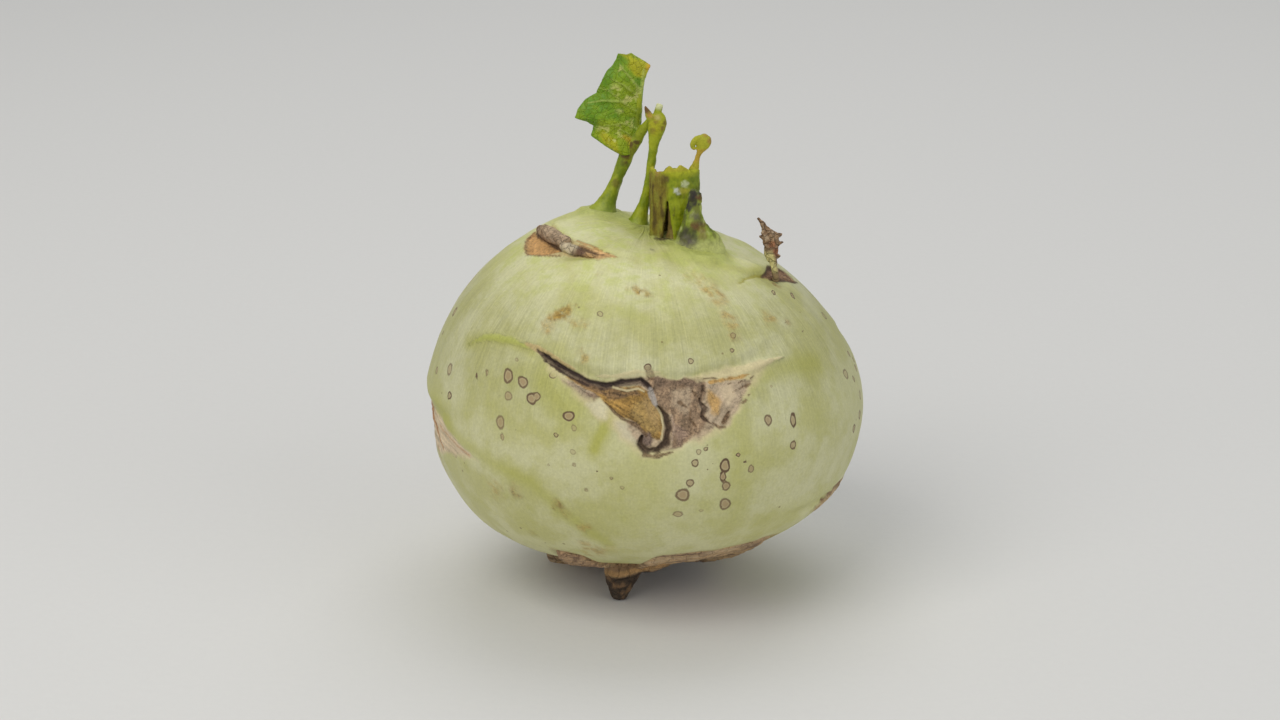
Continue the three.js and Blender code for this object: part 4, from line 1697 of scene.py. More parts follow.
            Stroke(((9, 6.4), (13.1, 6.1), (17.8, 6.3), (21.8, 6.5), (26.1, 7.0), (30, 7.3)),
                   (0.4, 1.7, 2.4, 2.2, 1.6, 0.4), tone(206, 194, 148), 0.55, 0, 1.3, 0.5),
            Stroke(((11, 6.5), (14, 6.2), (17.8, 6.4), (21.8, 6.8), (26.1, 7.2), (30, 7.5),
                    (34, 7.4)), (0.2, 0.8, 1.3, 1.3, 1.0, 0.6, 0.1),
                   tone(210, 195, 152), 0.68, -0.5, 1.6, 0.4),
            Stroke(((13.8, 5.1), (17, 5.2), (20.4, 5.2), (24, 5.6)), (0.4, 0.8, 0.7, 0.2),
                   tone(190, 146, 76), 0.8, 0.2, ragged=0.5),
            Stroke(((12.6, 5.9), (14.6, 5.9), (16, 5.6)), (0.2, 0.35, 0.2), brown, 0.7, 0.2),
            *(Stroke(((x - 0.4, y - 0.2), (x + 0.4, y + 0.2)), (size, size), brown, 0.8, 0.1,
                     ragged=0.3) for x, y, size in flecks),
        )
        self.front.paint(coat, layers)

    def dress_shoulders(self, coat: SkinCoat) -> None:
        """Lays the orange hollow on the left shoulder, with painted shadow under the roll, and the
        dark one on the right.

        Args:
            coat: The skin's paint.
        """
        ink, brown, orange = tone(84, 62, 46), tone(136, 100, 64), tone(204, 158, 98)
        left = (
            Patch(((-5.4, -7.3), (-10.8, -6.2), (-16.4, -4.6), (-16.5, -1), (-8.3, 2.6), (1.3, 3),
                   (7.5, 2.9), (15.7, 1.5), (13.8, -0.6), (8.9, -1.5), (4, -3.1), (-0.9, -5.4)),
                  tone(198, 176, 124), 0.85, -0.25, 0.1, 0.5, 0.6),
            Patch(((-5.1, -6.8), (-9.6, -5.9), (-14.2, -4.9), (-16, -3.7), (-9.2, -1.4),
                   (-5.3, -0.6), (-0.6, -0.6), (3.1, -1), (-0.2, -4.5)),
                  orange, 1.0, -0.9, 0.15, 0.4, 0.5, 0.25, -20),
            # The dark line under the roll, along the top of the hollow, is painted shadow.
            Stroke(((-15, -2.6), (-9, -1.2), (-4, -0.4), (2.6, -0.6)), (0.8, 1.3, 1.5, 1.1),
                   ink, 0.9, 0.3),
            Stroke(((-16, -3.7), (-14.2, -5.1), (-9.6, -6.2), (-5.1, -7.1), (-0.5, -5), (4, -3)),
                   (0.4, 0.5, 0.4, 0.5, 0.4), brown, 0.75, -0.2),
            Patch(((4.4, 2.8), (10.6, 2.3), (15.9, 1.5), (13.5, -0.3), (9.6, -1), (5, -1.8)),
                  tone(196, 156, 104), 0.95, 0.1, 0.1, 0.4, 0.5, 0.9, -4),
            Stroke(((5, 1.2), (8, 1.4), (11, 1.3), (14, 1)), (1.2, 0.8, 0.5, 0.3), ink, 0.85, 0.4),
            Stroke(((5, -0.8), (8.6, -0.4), (12.6, 0.1)), (0.6, 0.4, 0.3), brown, 0.7, 0.2),
            Stroke(((3, 3.2), (9, 2.9), (14.4, 1.9)), (0.4, 0.4, 0.3), tone(184, 128, 74), 0.7),
        )
        right = (
            Stroke(((-15.4, 0.6), (-10.4, 1.6), (-4.2, 1.3), (-1, -0.2)), (0.3, 0.5, 0.6, 0.6),
                   tone(166, 158, 66), 0.8, 0.3, 1.8),
            Patch(((-2.2, -0.1), (4.2, 0.6), (11, -2.2), (14.6, -5.6), (13.8, -9.4), (7.6, -6.8),
                   (1.8, -3.4)), tone(130, 98, 70), 1.0, -0.5, 0.3, 0.35, 0.6, 0.7, -35),
            Stroke(((-2, -0.2), (4.2, 0.4), (11, -2.4), (14, -5.6)), (0.4, 0.7, 0.6, 0.4),
                   ink, 0.8),
            Stroke(((0, -2), (4, -4.6), (9, -7.4), (13.6, -9.3)), (0.5, 0.7, 0.7, 0.5),
                   ink, 0.8),
            Stroke(((3, -1.6), (8, -4), (12, -7)), (0.5, 0.8, 0.5), tone(176, 140, 104), 0.6),
        )
        self.left_shoulder.paint(coat, left)
        self.right_shoulder.paint(coat, right)

    def dress_sides(self, coat: SkinCoat) -> None:
        """Lays the pale scars on the left side and low on the right.

        Args:
            coat: The skin's paint.
        """
        pale, rust, ink = tone(206, 186, 154), tone(178, 126, 80), tone(118, 86, 60)
        left = (
            Patch(((-15, -3), (-8, -1.6), (0, -1.6), (5.9, -2), (15.4, -1.3), (19.8, -2.5),
                   (23.3, -4.1), (28.9, -5.3), (31, -6.6), (25.4, -7.2), (19, -8.6), (13, -10),
                   (4, -12), (-8, -10), (-14, -6)), pale, 0.95, -0.4, 0.2, 0.7, 0.9, 0.4, -12),
            Patch(((-12, -4), (-2, -3.4), (6, -4), (9, -6), (4, -9.6), (-6, -8.6)),
                  tone(170, 146, 116), 0.8, -0.8, 0.3, 0.6, 1.4, 0.5, -12),
            Stroke(((-14, -2.8), (0, -2.6), (8, -3.4), (12.6, -5.5), (15, -8.4)),
                   (0.5, 1.1, 1.3, 1.3, 0.6), rust, 0.85, 0.3),
            # The dark line in the crease under the brow is painted shade.
            Stroke(((-12, -2.6), (-3, -2.2), (5, -2.6)), (0.4, 0.9, 0.4), ink, 0.9, 0.8),
            Stroke(((10, -9), (11.4, -12), (11.6, -15)), (0.6, 0.6, 0.3), rust, 0.5, 0.2),
            Stroke(((15, -3.6), (22, -5), (28, -6.2)), (0.3, 0.4, 0.3), tone(190, 150, 112), 0.6),
        )
        right = (
            Patch(((2.6, -3.9), (4.6, -1.2), (9, 0.5), (16, 0.8), (18, -2), (12, -5), (6, -5.4)),
                  tone(186, 156, 118), 0.9, 0.25, 0.2, 0.5, 0.8, 0.5, 10),
            Stroke(((4.6, -1.2), (9, 0.4), (15, 0.6)), (0.4, 0.7, 0.4), ink, 0.8, 0.4),
        )
        self.left_side.paint(coat, left)
        self.low_right.paint(coat, right)

    def feet_rise(self, points: Array) -> Array:
        """How far the skin climbs the feet of the stalks.

        Args:
            points: The skin's points, in millimetres.

        Returns:
            The height in millimetres for each.
        """
        total = np.zeros(len(points))
        above = self.form.above(points)
        for x, y, radius, height in self.feet:
            away = np.hypot(points[:, 0] - x, points[:, 1] - y)
            away *= 1 + 0.14 * NOISE.plain(points + 20, 3.0)
            total = np.maximum(total, height * np.exp(-np.maximum(0, away - radius) / 1.5))
        at = np.flatnonzero(above)
        for path, width, height in self.folds:
            distance, share = along_path(points[at, :2], path)
            ridge = np.exp(-((distance / (width * (0.7 + 0.9 * share))) ** 2))
            total[at] += height * ridge * smooth(1.0, 0.7, share)
        return total * above

    def scuff(self, coat: Coat) -> None:
        """Lays brown scuffs and stains, and the green round the stalks' feet.

        Args:
            coat: The skin's paint.
        """
        tan, brown, ochre = tone(180, 152, 86), tone(146, 112, 62), tone(166, 134, 62)
        marks = (
            (-123, 59, 1.0, ochre, 0.8), (-123, 57, 1.2, ochre, 0.8), (-122, 55.6, 1.3, ochre, 0.8),
            (-120.6, 54.4, 1.4, ochre, 0.8), (-118.6, 53.6, 1.4, ochre, 0.75),
            (-117.6, 51, 0.8, ochre, 0.7), (-114, 55.6, 1.0, ochre, 0.6),
            (-111, 56, 0.9, ochre, 0.5), (-108, 65, 1.0, ochre, 0.6),
            (-110, 63.6, 0.7, brown, 0.6), (-113, 38, 0.6, brown, 0.5),
            (-97, 42, 0.7, ochre, 0.6), (-94, 42.6, 0.8, ochre, 0.7), (-91, 43.4, 0.8, ochre, 0.7),
            (-88, 44.2, 0.6, brown, 0.6), (-34, 60, 0.7, brown, 0.5),
            (-61.2, 40.5, 2.6, tan, 0.7), (-59.8, 46.6, 2.0, tan, 0.65),
            (-58.1, 54.9, 1.6, tan, 0.7), (-59.7, 60.5, 1.2, brown, 0.6),
            (-40.8, 57.2, 1.4, tan, 0.7), (-16.8, 49.2, 0.9, brown, 0.5),
            (-112.1, 107.6, 1.1, brown, 0.7), (-114.4, 105.6, 1.2, brown, 0.8),
            (-126.4, 103.9, 1.4, brown, 0.6), (-133.3, 105, 1.8, tan, 0.6),
            (-107.2, 112.3, 1.1, tan, 0.7), (-126.2, 118.8, 0.8, brown, 0.8),
            (-107, 123.6, 2.4, tan, 0.7), (-100.3, 121.6, 1.0, tone(200, 180, 100), 0.8),
            (60, 50, 2.4, tan, 0.6), (140, 84, 2.0, tan, 0.6), (10, 95, 1.6, brown, 0.5),
            (170, 60, 1.8, tan, 0.6), (75, 70, 1.5, brown, 0.5), (100, 90, 1.9, tan, 0.6),
        )
        on_skin = self.form.on_skin
        coat.stain(Blot(on_skin(round_, down), 1.15 * radius, colour, share, 0.6, 0.9, broken=0.8)
                   for round_, down, radius, colour, share in marks)
        above = self.form.above(coat.points)
        for x, y, radius, _ in self.feet:
            away = np.hypot(coat.points[:, 0] - x, coat.points[:, 1] - y)
            away = away + 1.2 * NOISE.fractal(coat.points, 2.6, 3)
            share = above * np.exp(-((np.maximum(0, away - radius) / 2.0) ** 1.5))
            coat.wash(0.8 * share, tone(174, 180, 100), 0.08)
        crown_marks = (
            (-70, 11.4, 0.8, 0.8), (-62, 12, 0.9, 0.9), (-52, 12.6, 1.0, 0.9),
            (-41, 13.2, 0.8, 0.8), (-34, 15, 0.7, 0.6), (103, 8, 1.0, 0.4),
            (116, 10, 0.9, 0.35), (-84, 21, 0.6, 0.5),
        )
        coat.stain(Blot(on_skin(round_, down), radius, tone(78, 62, 40), share, 0.5, 0.9, 0.6)
                   for round_, down, radius, share in crown_marks)

    def yellowing_and_flank_shade(self, coat: SkinCoat) -> Array:
        """How far the skin turns yellow-green: under the brows, along creases and near the base,
        and at the left and right flanks, where it is painted shade.

        Args:
            coat: The skin's paint.

        Returns:
            A share from 0 to 1 for each of its points.
        """
        points, azimuth, polar = coat.points, coat.azimuth, coat.polar
        places = self.front.places(azimuth, polar)
        lines = (
            (((-46.2, 7), (-40, 9.4), (-35.6, 10.2), (-31.7, 10.6), (-26, 9.8)), 1.3, 0.6),
            (((-22, 4), (-19, 1.5), (-15, -0.5)), 4.5, 0.8),
            (((-7.2, -1.6), (-8.2, -3.6), (-9.4, -6), (-10.4, -8.4)), 1.5, 1.0),
            (((23, 4.6), (30.8, 5.2), (37.5, 5.0), (45, 3.5)), 2.6, 0.7),
            (((-56, -9), (-48, -12.4), (-40.6, -13.6), (-35.8, -15), (-31.6, -16), (-24.6, -17.2),
              (-21.6, -19.6), (-18.2, -23.4), (-14.9, -25.8), (-8, -33)), 1.9, 0.7),
            (((2, -11), (1, -17), (-3, -26)), 6, 0.45),
            (((18, -6), (19, -14), (15, -26)), 6, 0.3),
        )
        total = 0.45 * smooth(math.radians(118), math.radians(150), polar)
        total += 0.18 * NOISE.fractal(points + 90, 16, 3)
        for path, width, share in lines:
            distance, _ = along_path(places, path)
            distance = distance + 0.3 * width * NOISE.fractal(points, 4, 2)
            total += share * np.exp(-((distance / width) ** 2))
        for x, y, radius, _ in self.feet:
            away = np.hypot(points[:, 0] - x, points[:, 1] - y) + NOISE.fractal(points, 3, 3)
            foot = np.exp(-np.maximum(0, away - radius) / 2.2)
            total += 0.9 * foot * self.form.above(points)
        # Painted shade: the left and right flanks, the bulb's outline seen from the front, turn
        # deeper.
        flank = np.abs(np.cos(azimuth)) * np.sin(polar) + 0.05 * NOISE.fractal(points + 7, 12, 3)
        total += 0.3 * smooth(0.86, 1.0, flank)
        for scar in self.scars[1:]:
            across, up = scar.places(azimuth, polar).T
            edge = up - scar.lift * (across / scar.half) ** 2
            near = np.exp(-((edge / 3) ** 2)) * np.exp(-((across / (1.35 * scar.half)) ** 4))
            total += 0.6 * near
        return np.clip(total, 0, 1)

    def spot_fields(self, coat: SkinCoat) -> tuple[Array, Array, Array]:
        """How near each point is to a corky spot, and how strong that spot is.

        Args:
            coat: The skin's paint. A spot doesn't show where it covers the skin.

        Returns:
            The distance over the spot's radius, the ring's strength and the fill's strength.
        """
        random = np.random.default_rng(self.spot_seed)
        places = self.front.places(coat.azimuth, coat.polar)
        far = np.full(len(places), 3.0)
        dark, fill = np.zeros((2, len(places)))

        def put(spot: Spot, offsets: Array) -> None:
            """Keeps a spot where no other is nearer.

            Args:
                spot: The spot.
                offsets: How far the points lie across and up from its middle.
            """
            share = np.hypot(offsets[:, 0] / spot.wide * 2, offsets[:, 1] / spot.tall * 2)
            angle = np.arctan2(offsets[:, 1], offsets[:, 0])
            wave = 1 + 0.05 * np.sin(3 * angle + 9 * spot.wide)
            share *= wave + 0.05 * np.sin(2 * angle + 5 * spot.tall)
            closer = share < far
            far[closer] = share[closer]
            dark[closer] = spot.dark
            fill[closer] = spot.fill

        for spot in self.spots:
            put(spot, places - np.array([spot.across, spot.up]))
        for _ in range(self.extra_spots):
            round_, down = random.uniform(-20, 215), 62 + 55 * random.beta(1.6, 1.9)
            size, shape, ring, scab = random.uniform([0.7, 0.8, 0.35, 0.3], [2.7, 1.3, 0.95, 0.85])
            spot = Spot(0, 0, size, size * shape, ring, scab)
            put(spot, Chart(round_, down).places(coat.azimuth, coat.polar))
        clear = 1 - np.clip(coat.cover, 0, 1)
        return far, dark * clear, fill * clear


# ---- What grows on the bulb ----


@dataclass
class Growth(ABC):
    """A piece that is fused from grown parts, roughened and painted.

    `node` and `slot` are those that it stands for, `lumps` the width and the height of each size
    of lump, `voxel` the width of its faces and `relax` how often they are smoothed.
    """

    name: str
    node: str
    slot: Slot
    lumps: Lumps
    voxel: float = 0.2
    relax: int = 3

    @abstractmethod
    def parts(self) -> list[Piece]:
        """The closed meshes that it is fused from."""

    @abstractmethod
    def paint(self, coat: Coat) -> None:
        """Paints the piece.

        Args:
            coat: The paint over its points.
        """

    def shape(self) -> Piece:
        """Makes the piece without its paint.

        Returns:
            The piece.
        """
        piece, *others = self.parts()
        if others:
            piece = Shaper.fuse(self.name, (piece, *others), self.voxel, self.relax)
        Shaper.roughen(piece, self.lumps)
        return piece

    def build(self, material: Material) -> Piece:
        """Makes the piece, and lets it stand for its node.

        Args:
            material: Its material.

        Returns:
            The piece.
        """
        piece = self.shape()
        coat = Coat(Shaper.read(piece))
        self.paint(coat)
        dress(piece, material, self.node, self.slot, coat)
        return piece


@dataclass
class RootCrown(Growth):
    """The corky crust under the bulb, the taproot's stub and the stubs of two side roots."""

    name: str = "root_crown"
    node: str = "root_base"
    slot: Slot = Slot.ROOT
    lumps: Lumps = ((6.0, 0.35), (1.8, 0.28), (0.8, 0.12))
    voxel: float = 0.32
    relax: int = 2
    form: SkinForm = field(default_factory=SkinForm)
    columns: int = 120
    rows: int = 80
    thickness: float = 2.6
    floor: float = 0.02
    rim: CrustRim = field(default_factory=CrustRim)
    taproot: tuple[Station, ...] = (
        (-3.8, -9, 12, 6.2, 6), (-4.9, -12.8, 7.6, 4.7, 3.6), (-5.4, -14, 4.6, 3.6, 2.7),
        (-5.7, -14.4, 2.0, 2.4, 1.8), (-5.8, -14.6, 0.3, 1.5, 1.3), (-5.8, -14.6, 0.1, 1.3, 1.2),
    )
    left_stump: tuple[Station, ...] = (
        (-13, 5, 12, 9, 6), (-15.2, 7.4, 6.4, 7.6, 4.2), (-15.8, 8.8, 2.6, 6.8, 3.0),
        (-15.8, 9.0, 0.9, 6.7, 2.7), (-15.8, 9.0, 0.12, 6.6, 2.6),
    )
    collar: tuple[Station, ...] = (
        (-5.0, -12, 14, 8.0, 7), (-5.2, -12.3, 10, 5.6, 5), (-5.6, -12.6, 7.9, 4.2, 3.8),
        (-5.8, -12.8, 7.0, 3.7, 3.3), (-5.8, -12.8, 6.7, 3.5, 3.1),
    )
    skirt: tuple[Station, ...] = (
        (-0.4, -11.8, 13.6, 11.4, 7.6), (-0.6, -12.2, 10.4, 8.4, 6.0), (-1.8, -12.6, 9.0, 5.0, 4.6),
        (-2.6, -12.8, 8.2, 3.2, 3.6), (-3.0, -12.8, 7.8, 2.4, 2.9),
    )
    right_stump: tuple[Station, ...] = (
        (12, 11, 13, 6.5, 6.5), (16.2, 15.4, 6.5, 4.6, 4.6), (18.4, 17.8, 2.5, 3.4, 3.4),
        (18.8, 18.2, 0.15, 2.8, 2.8),
    )

    def crust(self, around: Array, down: Array) -> Array:
        """The place of a point of the crust, outside first and then back along the skin.

        Args:
            around: How far round, 0 to 1.
            down: 0 at the outer middle, 0.5 at the rim and 1 at the inner middle.

        Returns:
            Its place, in millimetres.
        """
        azimuth = math.tau * around
        inward = 1 - np.abs(2 * down - 1)
        polar = math.pi - (math.pi - np.radians(self.rim.edge(azimuth))) * inward
        thin = self.rim.thinned(azimuth) * smooth(2.95, 2.80, polar)
        swell = (self.thickness - 1.8 * thin) * np.sqrt(np.clip(1 - inward**7, 0, 1))
        lift = self.form.gap - self.rim.sink * thin + np.where(down < 0.5, swell, -0.6)
        reach = self.form.smooth(azimuth, np.clip(polar, 0, math.pi)) + lift
        return self.form.point(azimuth, polar, reach)

    def parts(self) -> list[Piece]:
        """The parts that the root is fused from.

        Returns:
            The crust and the stubs.
        """
        stubs = (self.taproot, self.left_stump, self.right_stump, self.collar, self.skirt)
        crust = Shaper.ball("crust", self.columns, self.rows, self.crust)
        return [crust, *Shaper.grow_all(stubs, 14)]

    def shape(self) -> Piece:
        """Makes the root without its paint, with nothing below the floor.

        Returns:
            The piece.
        """
        piece = super().shape()
        points = Shaper.read(piece)
        points[:, 2] = np.maximum(points[:, 2], self.floor)
        Shaper.write(piece, points)
        return piece

    def paint(self, coat: Coat) -> None:
        """Paints the pale crust, the ragged collar with a painted highlight along its hem, the dark
        taproot and the flaps.

        Args:
            coat: The paint over its points.
        """
        points = coat.points
        axis = np.array([-5.3, -13.4])
        away = np.linalg.norm(points[:, :2] - axis, axis=1)
        rim = np.linalg.norm(points[:, :2], axis=1)
        pale = smooth(13, 20, rim + 3.0 * NOISE.fractal(points, 4, 3))
        coat.wash(0.85 * pale, tone(212, 178, 134), 0.2)
        level = np.array([0.4, 0.4, 1.9])
        grey = smooth(0.0, 0.4, NOISE.fractal(points * level + 33, 2.0, 4))
        coat.wash(0.7 * grey, tone(128, 102, 84), 0.2)
        light = smooth(0.1, 0.45, NOISE.fractal(points * level + 71, 1.6, 4))
        coat.wash(0.6 * light * pale, tone(216, 190, 152), 0.2)
        hem = 6.6 + 0.21 * np.clip(points[:, 0] + 6, 0, 12)
        over = points[:, 2] - hem
        collar = smooth(15, 11, away) * smooth(-0.9, -0.3, over) * smooth(4.5, 3, over)
        coat.wash(0.8 * collar, tone(160, 126, 90), 0.25)
        vein = NOISE.fractal(points * np.array([1.6, 1.6, 0.5]), 1.6, 4)
        coat.wash(0.5 * collar * smooth(0.1, 0.4, vein), tone(122, 92, 64), 0.2)
        # A light line along the collar's hem: painted highlight.
        lip = collar * smooth(1.0, 0.1, over + 0.5 * NOISE.fractal(points, 2, 2))
        coat.wash(0.8 * lip, tone(210, 166, 110), 0.2)
        tap = smooth(-0.5, -1.1, over + 0.4 * NOISE.fractal(points, 2, 2)) * smooth(7, 5.5, away)
        coat.wash(0.95 * tap, tone(58, 44, 32), 0.3)
        fleck = tap * smooth(0.15, 0.45, NOISE.fractal(points + 17, 1.5, 3))
        coat.wash(0.6 * fleck, tone(150, 116, 80), 0.2)
        flap = smooth(-8, -11, points[:, 0]) * smooth(0.4, 4, points[:, 2])
        coat.wash(0.75 * flap, tone(176, 142, 108), 0.25)
        coat.wash(0.7 * flap * smooth(0.0, 0.4, vein), tone(112, 84, 66), 0.2)


# ---- The stalks ----


@dataclass
class LeafStem:
    """The left stalk, with the leaf that is left on it folded along its midrib.

    `leaf` gives, at each height, the x of the facing half's edge, the x of the fold and how far
    back the folded half reaches. `veins` are paths in x and z, with their widths, and `blisters`
    x, z and radius. Behind `painted_depth` the blade has no patches.
    """

    stalk: tuple[Station, ...] = (
        (-9.8, 4.9, 78.4, 5.8, 5.0), (-9.4, 5, 81.8, 4.1, 3.7), (-8.8, 5.1, 83.7, 2.6, 2.5),
        (-7.8, 5.3, 86, 1.65, 1.7), (-6.4, 5.7, 89.1, 1.35, 1.4), (-5.4, 6, 91.8, 1.4, 1.4),
        (-4.1, 6, 95, 1.8, 1.3), (-2.4, 6, 99.6, 1.1, 1), (-1.6, 6, 105, 0.75, 0.85),
        (-1.1, 6, 110, 0.6, 0.7), (-0.3, 6, 114, 0.45, 0.55),
    )
    branch: tuple[Station, ...] = (
        (-4.6, 6, 94, 1.4, 1.2), (-2.6, 5.8, 97.6, 1.5, 1.1), (-0.8, 5.2, 100.4, 1.2, 0.9),
        (0.5, 4.4, 102.6, 0.8, 0.7), (1.0, 3.8, 103.8, 0.4, 0.4),
    )
    leaf: tuple[tuple[float, float, float, float], ...] = (
        (95.4, -5.4, -2.8, 1), (97.4, -8.9, -1.9, 3), (99.3, -11.5, -0.8, 5),
        (100.7, -11.3, 0, 6.4), (101.7, -11.2, -1.1, 7.2), (102.6, -12.6, -1, 8),
        (103.5, -15.2, -1, 8.6), (105.2, -14.6, -0.9, 9), (107.2, -12.9, -0.8, 8.4),
        (108.6, -10.6, -0.7, 7.6), (111.8, -9.2, -0.3, 6.2), (113.6, -8.1, 0.4, 5.6),
        (114.7, -7.1, 1, 5), (116, -6.0, -1.2, 3.4), (117.3, -5.7, -3.2, 1.2),
    )
    veins: tuple[tuple[tuple[Place, ...], tuple[float, ...]], ...] = (
        (((-1.4, 97), (-1.2, 103), (-1.0, 109), (-0.4, 114)), (0.6, 0.45, 0.3)),
        (((-1.1, 104.3), (-5, 107.2), (-9, 107.4), (-12.6, 106.6)), (0.35, 0.28, 0.15)),
        (((-1.0, 109.4), (-3.4, 112.6), (-5.6, 115.2)), (0.32, 0.25, 0.15)),
        (((-1.0, 107.4), (-4.6, 110.8), (-7.6, 112.2)), (0.25, 0.2, 0.1)),
        (((-1.4, 101), (-5, 102.4), (-9, 101.8)), (0.3, 0.22, 0.1)),
        (((-5, 107.2), (-8, 109.6), (-10, 109.9)), (0.2, 0.1)),
        (((-2.2, 98), (-4, 100.2), (-5.4, 101)), (0.25, 0.12)),
    )
    columns: int = 120
    rows: int = 130
    voxel: float = 0.2
    relax: int = 3
    # The blister at -5.6, 114.4 stands for a white highlight: its pale paint is a painted
    # highlight.
    blisters: tuple[tuple[float, float, float], ...] = (
        (-3.2, 108.6, 2.6), (-4.6, 106.2, 2.2), (-2.6, 104.8, 1.8), (-9.2, 101.6, 1.9),
        (-6.4, 101, 2.6), (-4, 102, 1.8), (-7, 98.8, 1.7), (-5.6, 114.4, 0.9), (-6.4, 109.4, 1.7),
    )
    leaf_depth: float = 6.0
    leaf_bulge: float = 1.3
    thickness: float = 0.42
    facing_share: float = 0.62
    painted_depth: float = 8.5

    def blade(self, across: Array, up: Array) -> Array:
        """The place of a point of the blade: its facing half, the fold, and its folded half.

        Args:
            across: How far from the free edge of the facing half to that of the other, 0 to 1.
            up: How far up, 0 to 1.

        Returns:
            Its place, in millimetres.
        """
        table = np.array(self.leaf)
        height = table[0, 0] + (table[-1, 0] - table[0, 0]) * up
        left, fold, reach = (np.interp(height, table[:, 0], table[:, n]) for n in (1, 2, 3))
        share = np.clip(across / self.facing_share, 0, 1)
        past = np.clip((across - self.facing_share) / (1 - self.facing_share), 0, 1)
        facing = left + (fold - left) * share
        depth = self.leaf_bulge * np.sin(math.pi * share)
        depth = depth + 0.5 * (1 - share) * np.sin(0.8 * height)
        x = np.where(past > 0, fold - 0.35 * reach * past + 0.5 * past * np.cos(0.9 * height),
                     facing)
        y = np.where(past > 0, self.leaf_depth + reach * past, self.leaf_depth - depth)
        place = np.stack([x, y, height - 0.37 * past], axis=1)
        centre = np.sin(math.pi * share) * (past <= 0) + 0.7 * np.sin(math.pi * past)
        lump = NOISE.fractal(place, 2.4, 3)
        ridge = self.vein_share(place)
        place[:, 1] -= 0.55 * centre * lump + 0.22 * ridge * (past <= 0)
        place[:, 0] += 0.25 * (1 - centre) * NOISE.fractal(place + 40, 1.5, 2)
        return place

    def vein_share(self, points: Array) -> Array:
        """How near points lie to a vein.

        Args:
            points: Their places, in millimetres.

        Returns:
            A share from 0 to 1 for each.
        """
        total = np.zeros(len(points))
        for path, widths in self.veins:
            distance, share = along_path(points[:, [0, 2]], path)
            width = np.interp(share * (len(widths) - 1), range(len(widths)), widths)
            total = np.maximum(total, 1 - smooth(0.4 * width, 1.5 * width, distance))
        return total

    def build(self, leaf: Material, stalk: Material) -> Piece:
        """Makes the stalk and the leaf as one piece.

        Args:
            leaf: The blade's material.
            stalk: The stalk's material.

        Returns:
            The piece.
        """
        parts = Shaper.grow_all((self.stalk, self.branch))
        stem = Shaper.fuse("stem", parts, self.voxel, self.relax)
        Shaper.roughen(stem, ((3.0, 0.16), (0.9, 0.07)))
        stem.data.materials.append(stalk)
        blade = Shaper.sheet("blade", self.columns, self.rows, self.thickness, self.blade)
        bpy.ops.object.shade_smooth()
        blade.data.materials.append(leaf)
        for part in (stem, blade):
            points = Shaper.read(part)
            coat = self.paint_stem(points) if part is stem else self.paint_blade(points)
            store(part, coat)
            Shaper.mark(part, "blister", np.clip(coat.height, 0, 1))
        Shaper.pick(blade, stem)
        bpy.ops.object.join()
        blade.name = blade.data.name = "leaf_and_stem"
        stand_for(blade, "leaf_stem_left", Slot.LEAF)
        return blade

    @staticmethod
    def paint_stem(points: Array) -> Coat:
        """Paints the stalk's foot, its brown specks and its torn side.

        Args:
            points: The stalk's points, in millimetres.

        Returns:
            The paint.
        """
        coat = Coat(points)
        brown, pale = tone(96, 76, 34), tone(196, 200, 150)
        specks = (
            (-4.6, 93.6, 0.8), (-3.9, 95.4, 1.1), (-2.7, 96.4, 1.0), (-3.6, 97.6, 0.9),
            (-2.0, 98.2, 0.7), (-4.9, 96.2, 0.6),
        )
        coat.stain((
            Blot((-6.4, 4.3, 89.2), 0.9, brown, 0.6),
            Blot((-4.4, 4.4, 95.2), 1.2, brown, 0.7),
            Blot((-3.2, 4.5, 97.6), 0.9, tone(126, 110, 50), 0.7),
            *(Blot((x, 4.8, z), radius, tone(86, 62, 34), 0.85, 0.4, 0.9, 1.4, 0.6)
              for x, z, radius in specks),
            Blot((-5.2, 4.8, 87.3), 0.7, pale, 0.8, flatten=0.5),
            Blot((-8.4, 3.0, 82.4), 0.7, brown, 0.5),
            Blot((-9.6, 2.6, 80.6), 3.6, tone(178, 188, 110), 0.6),
        ))
        return coat

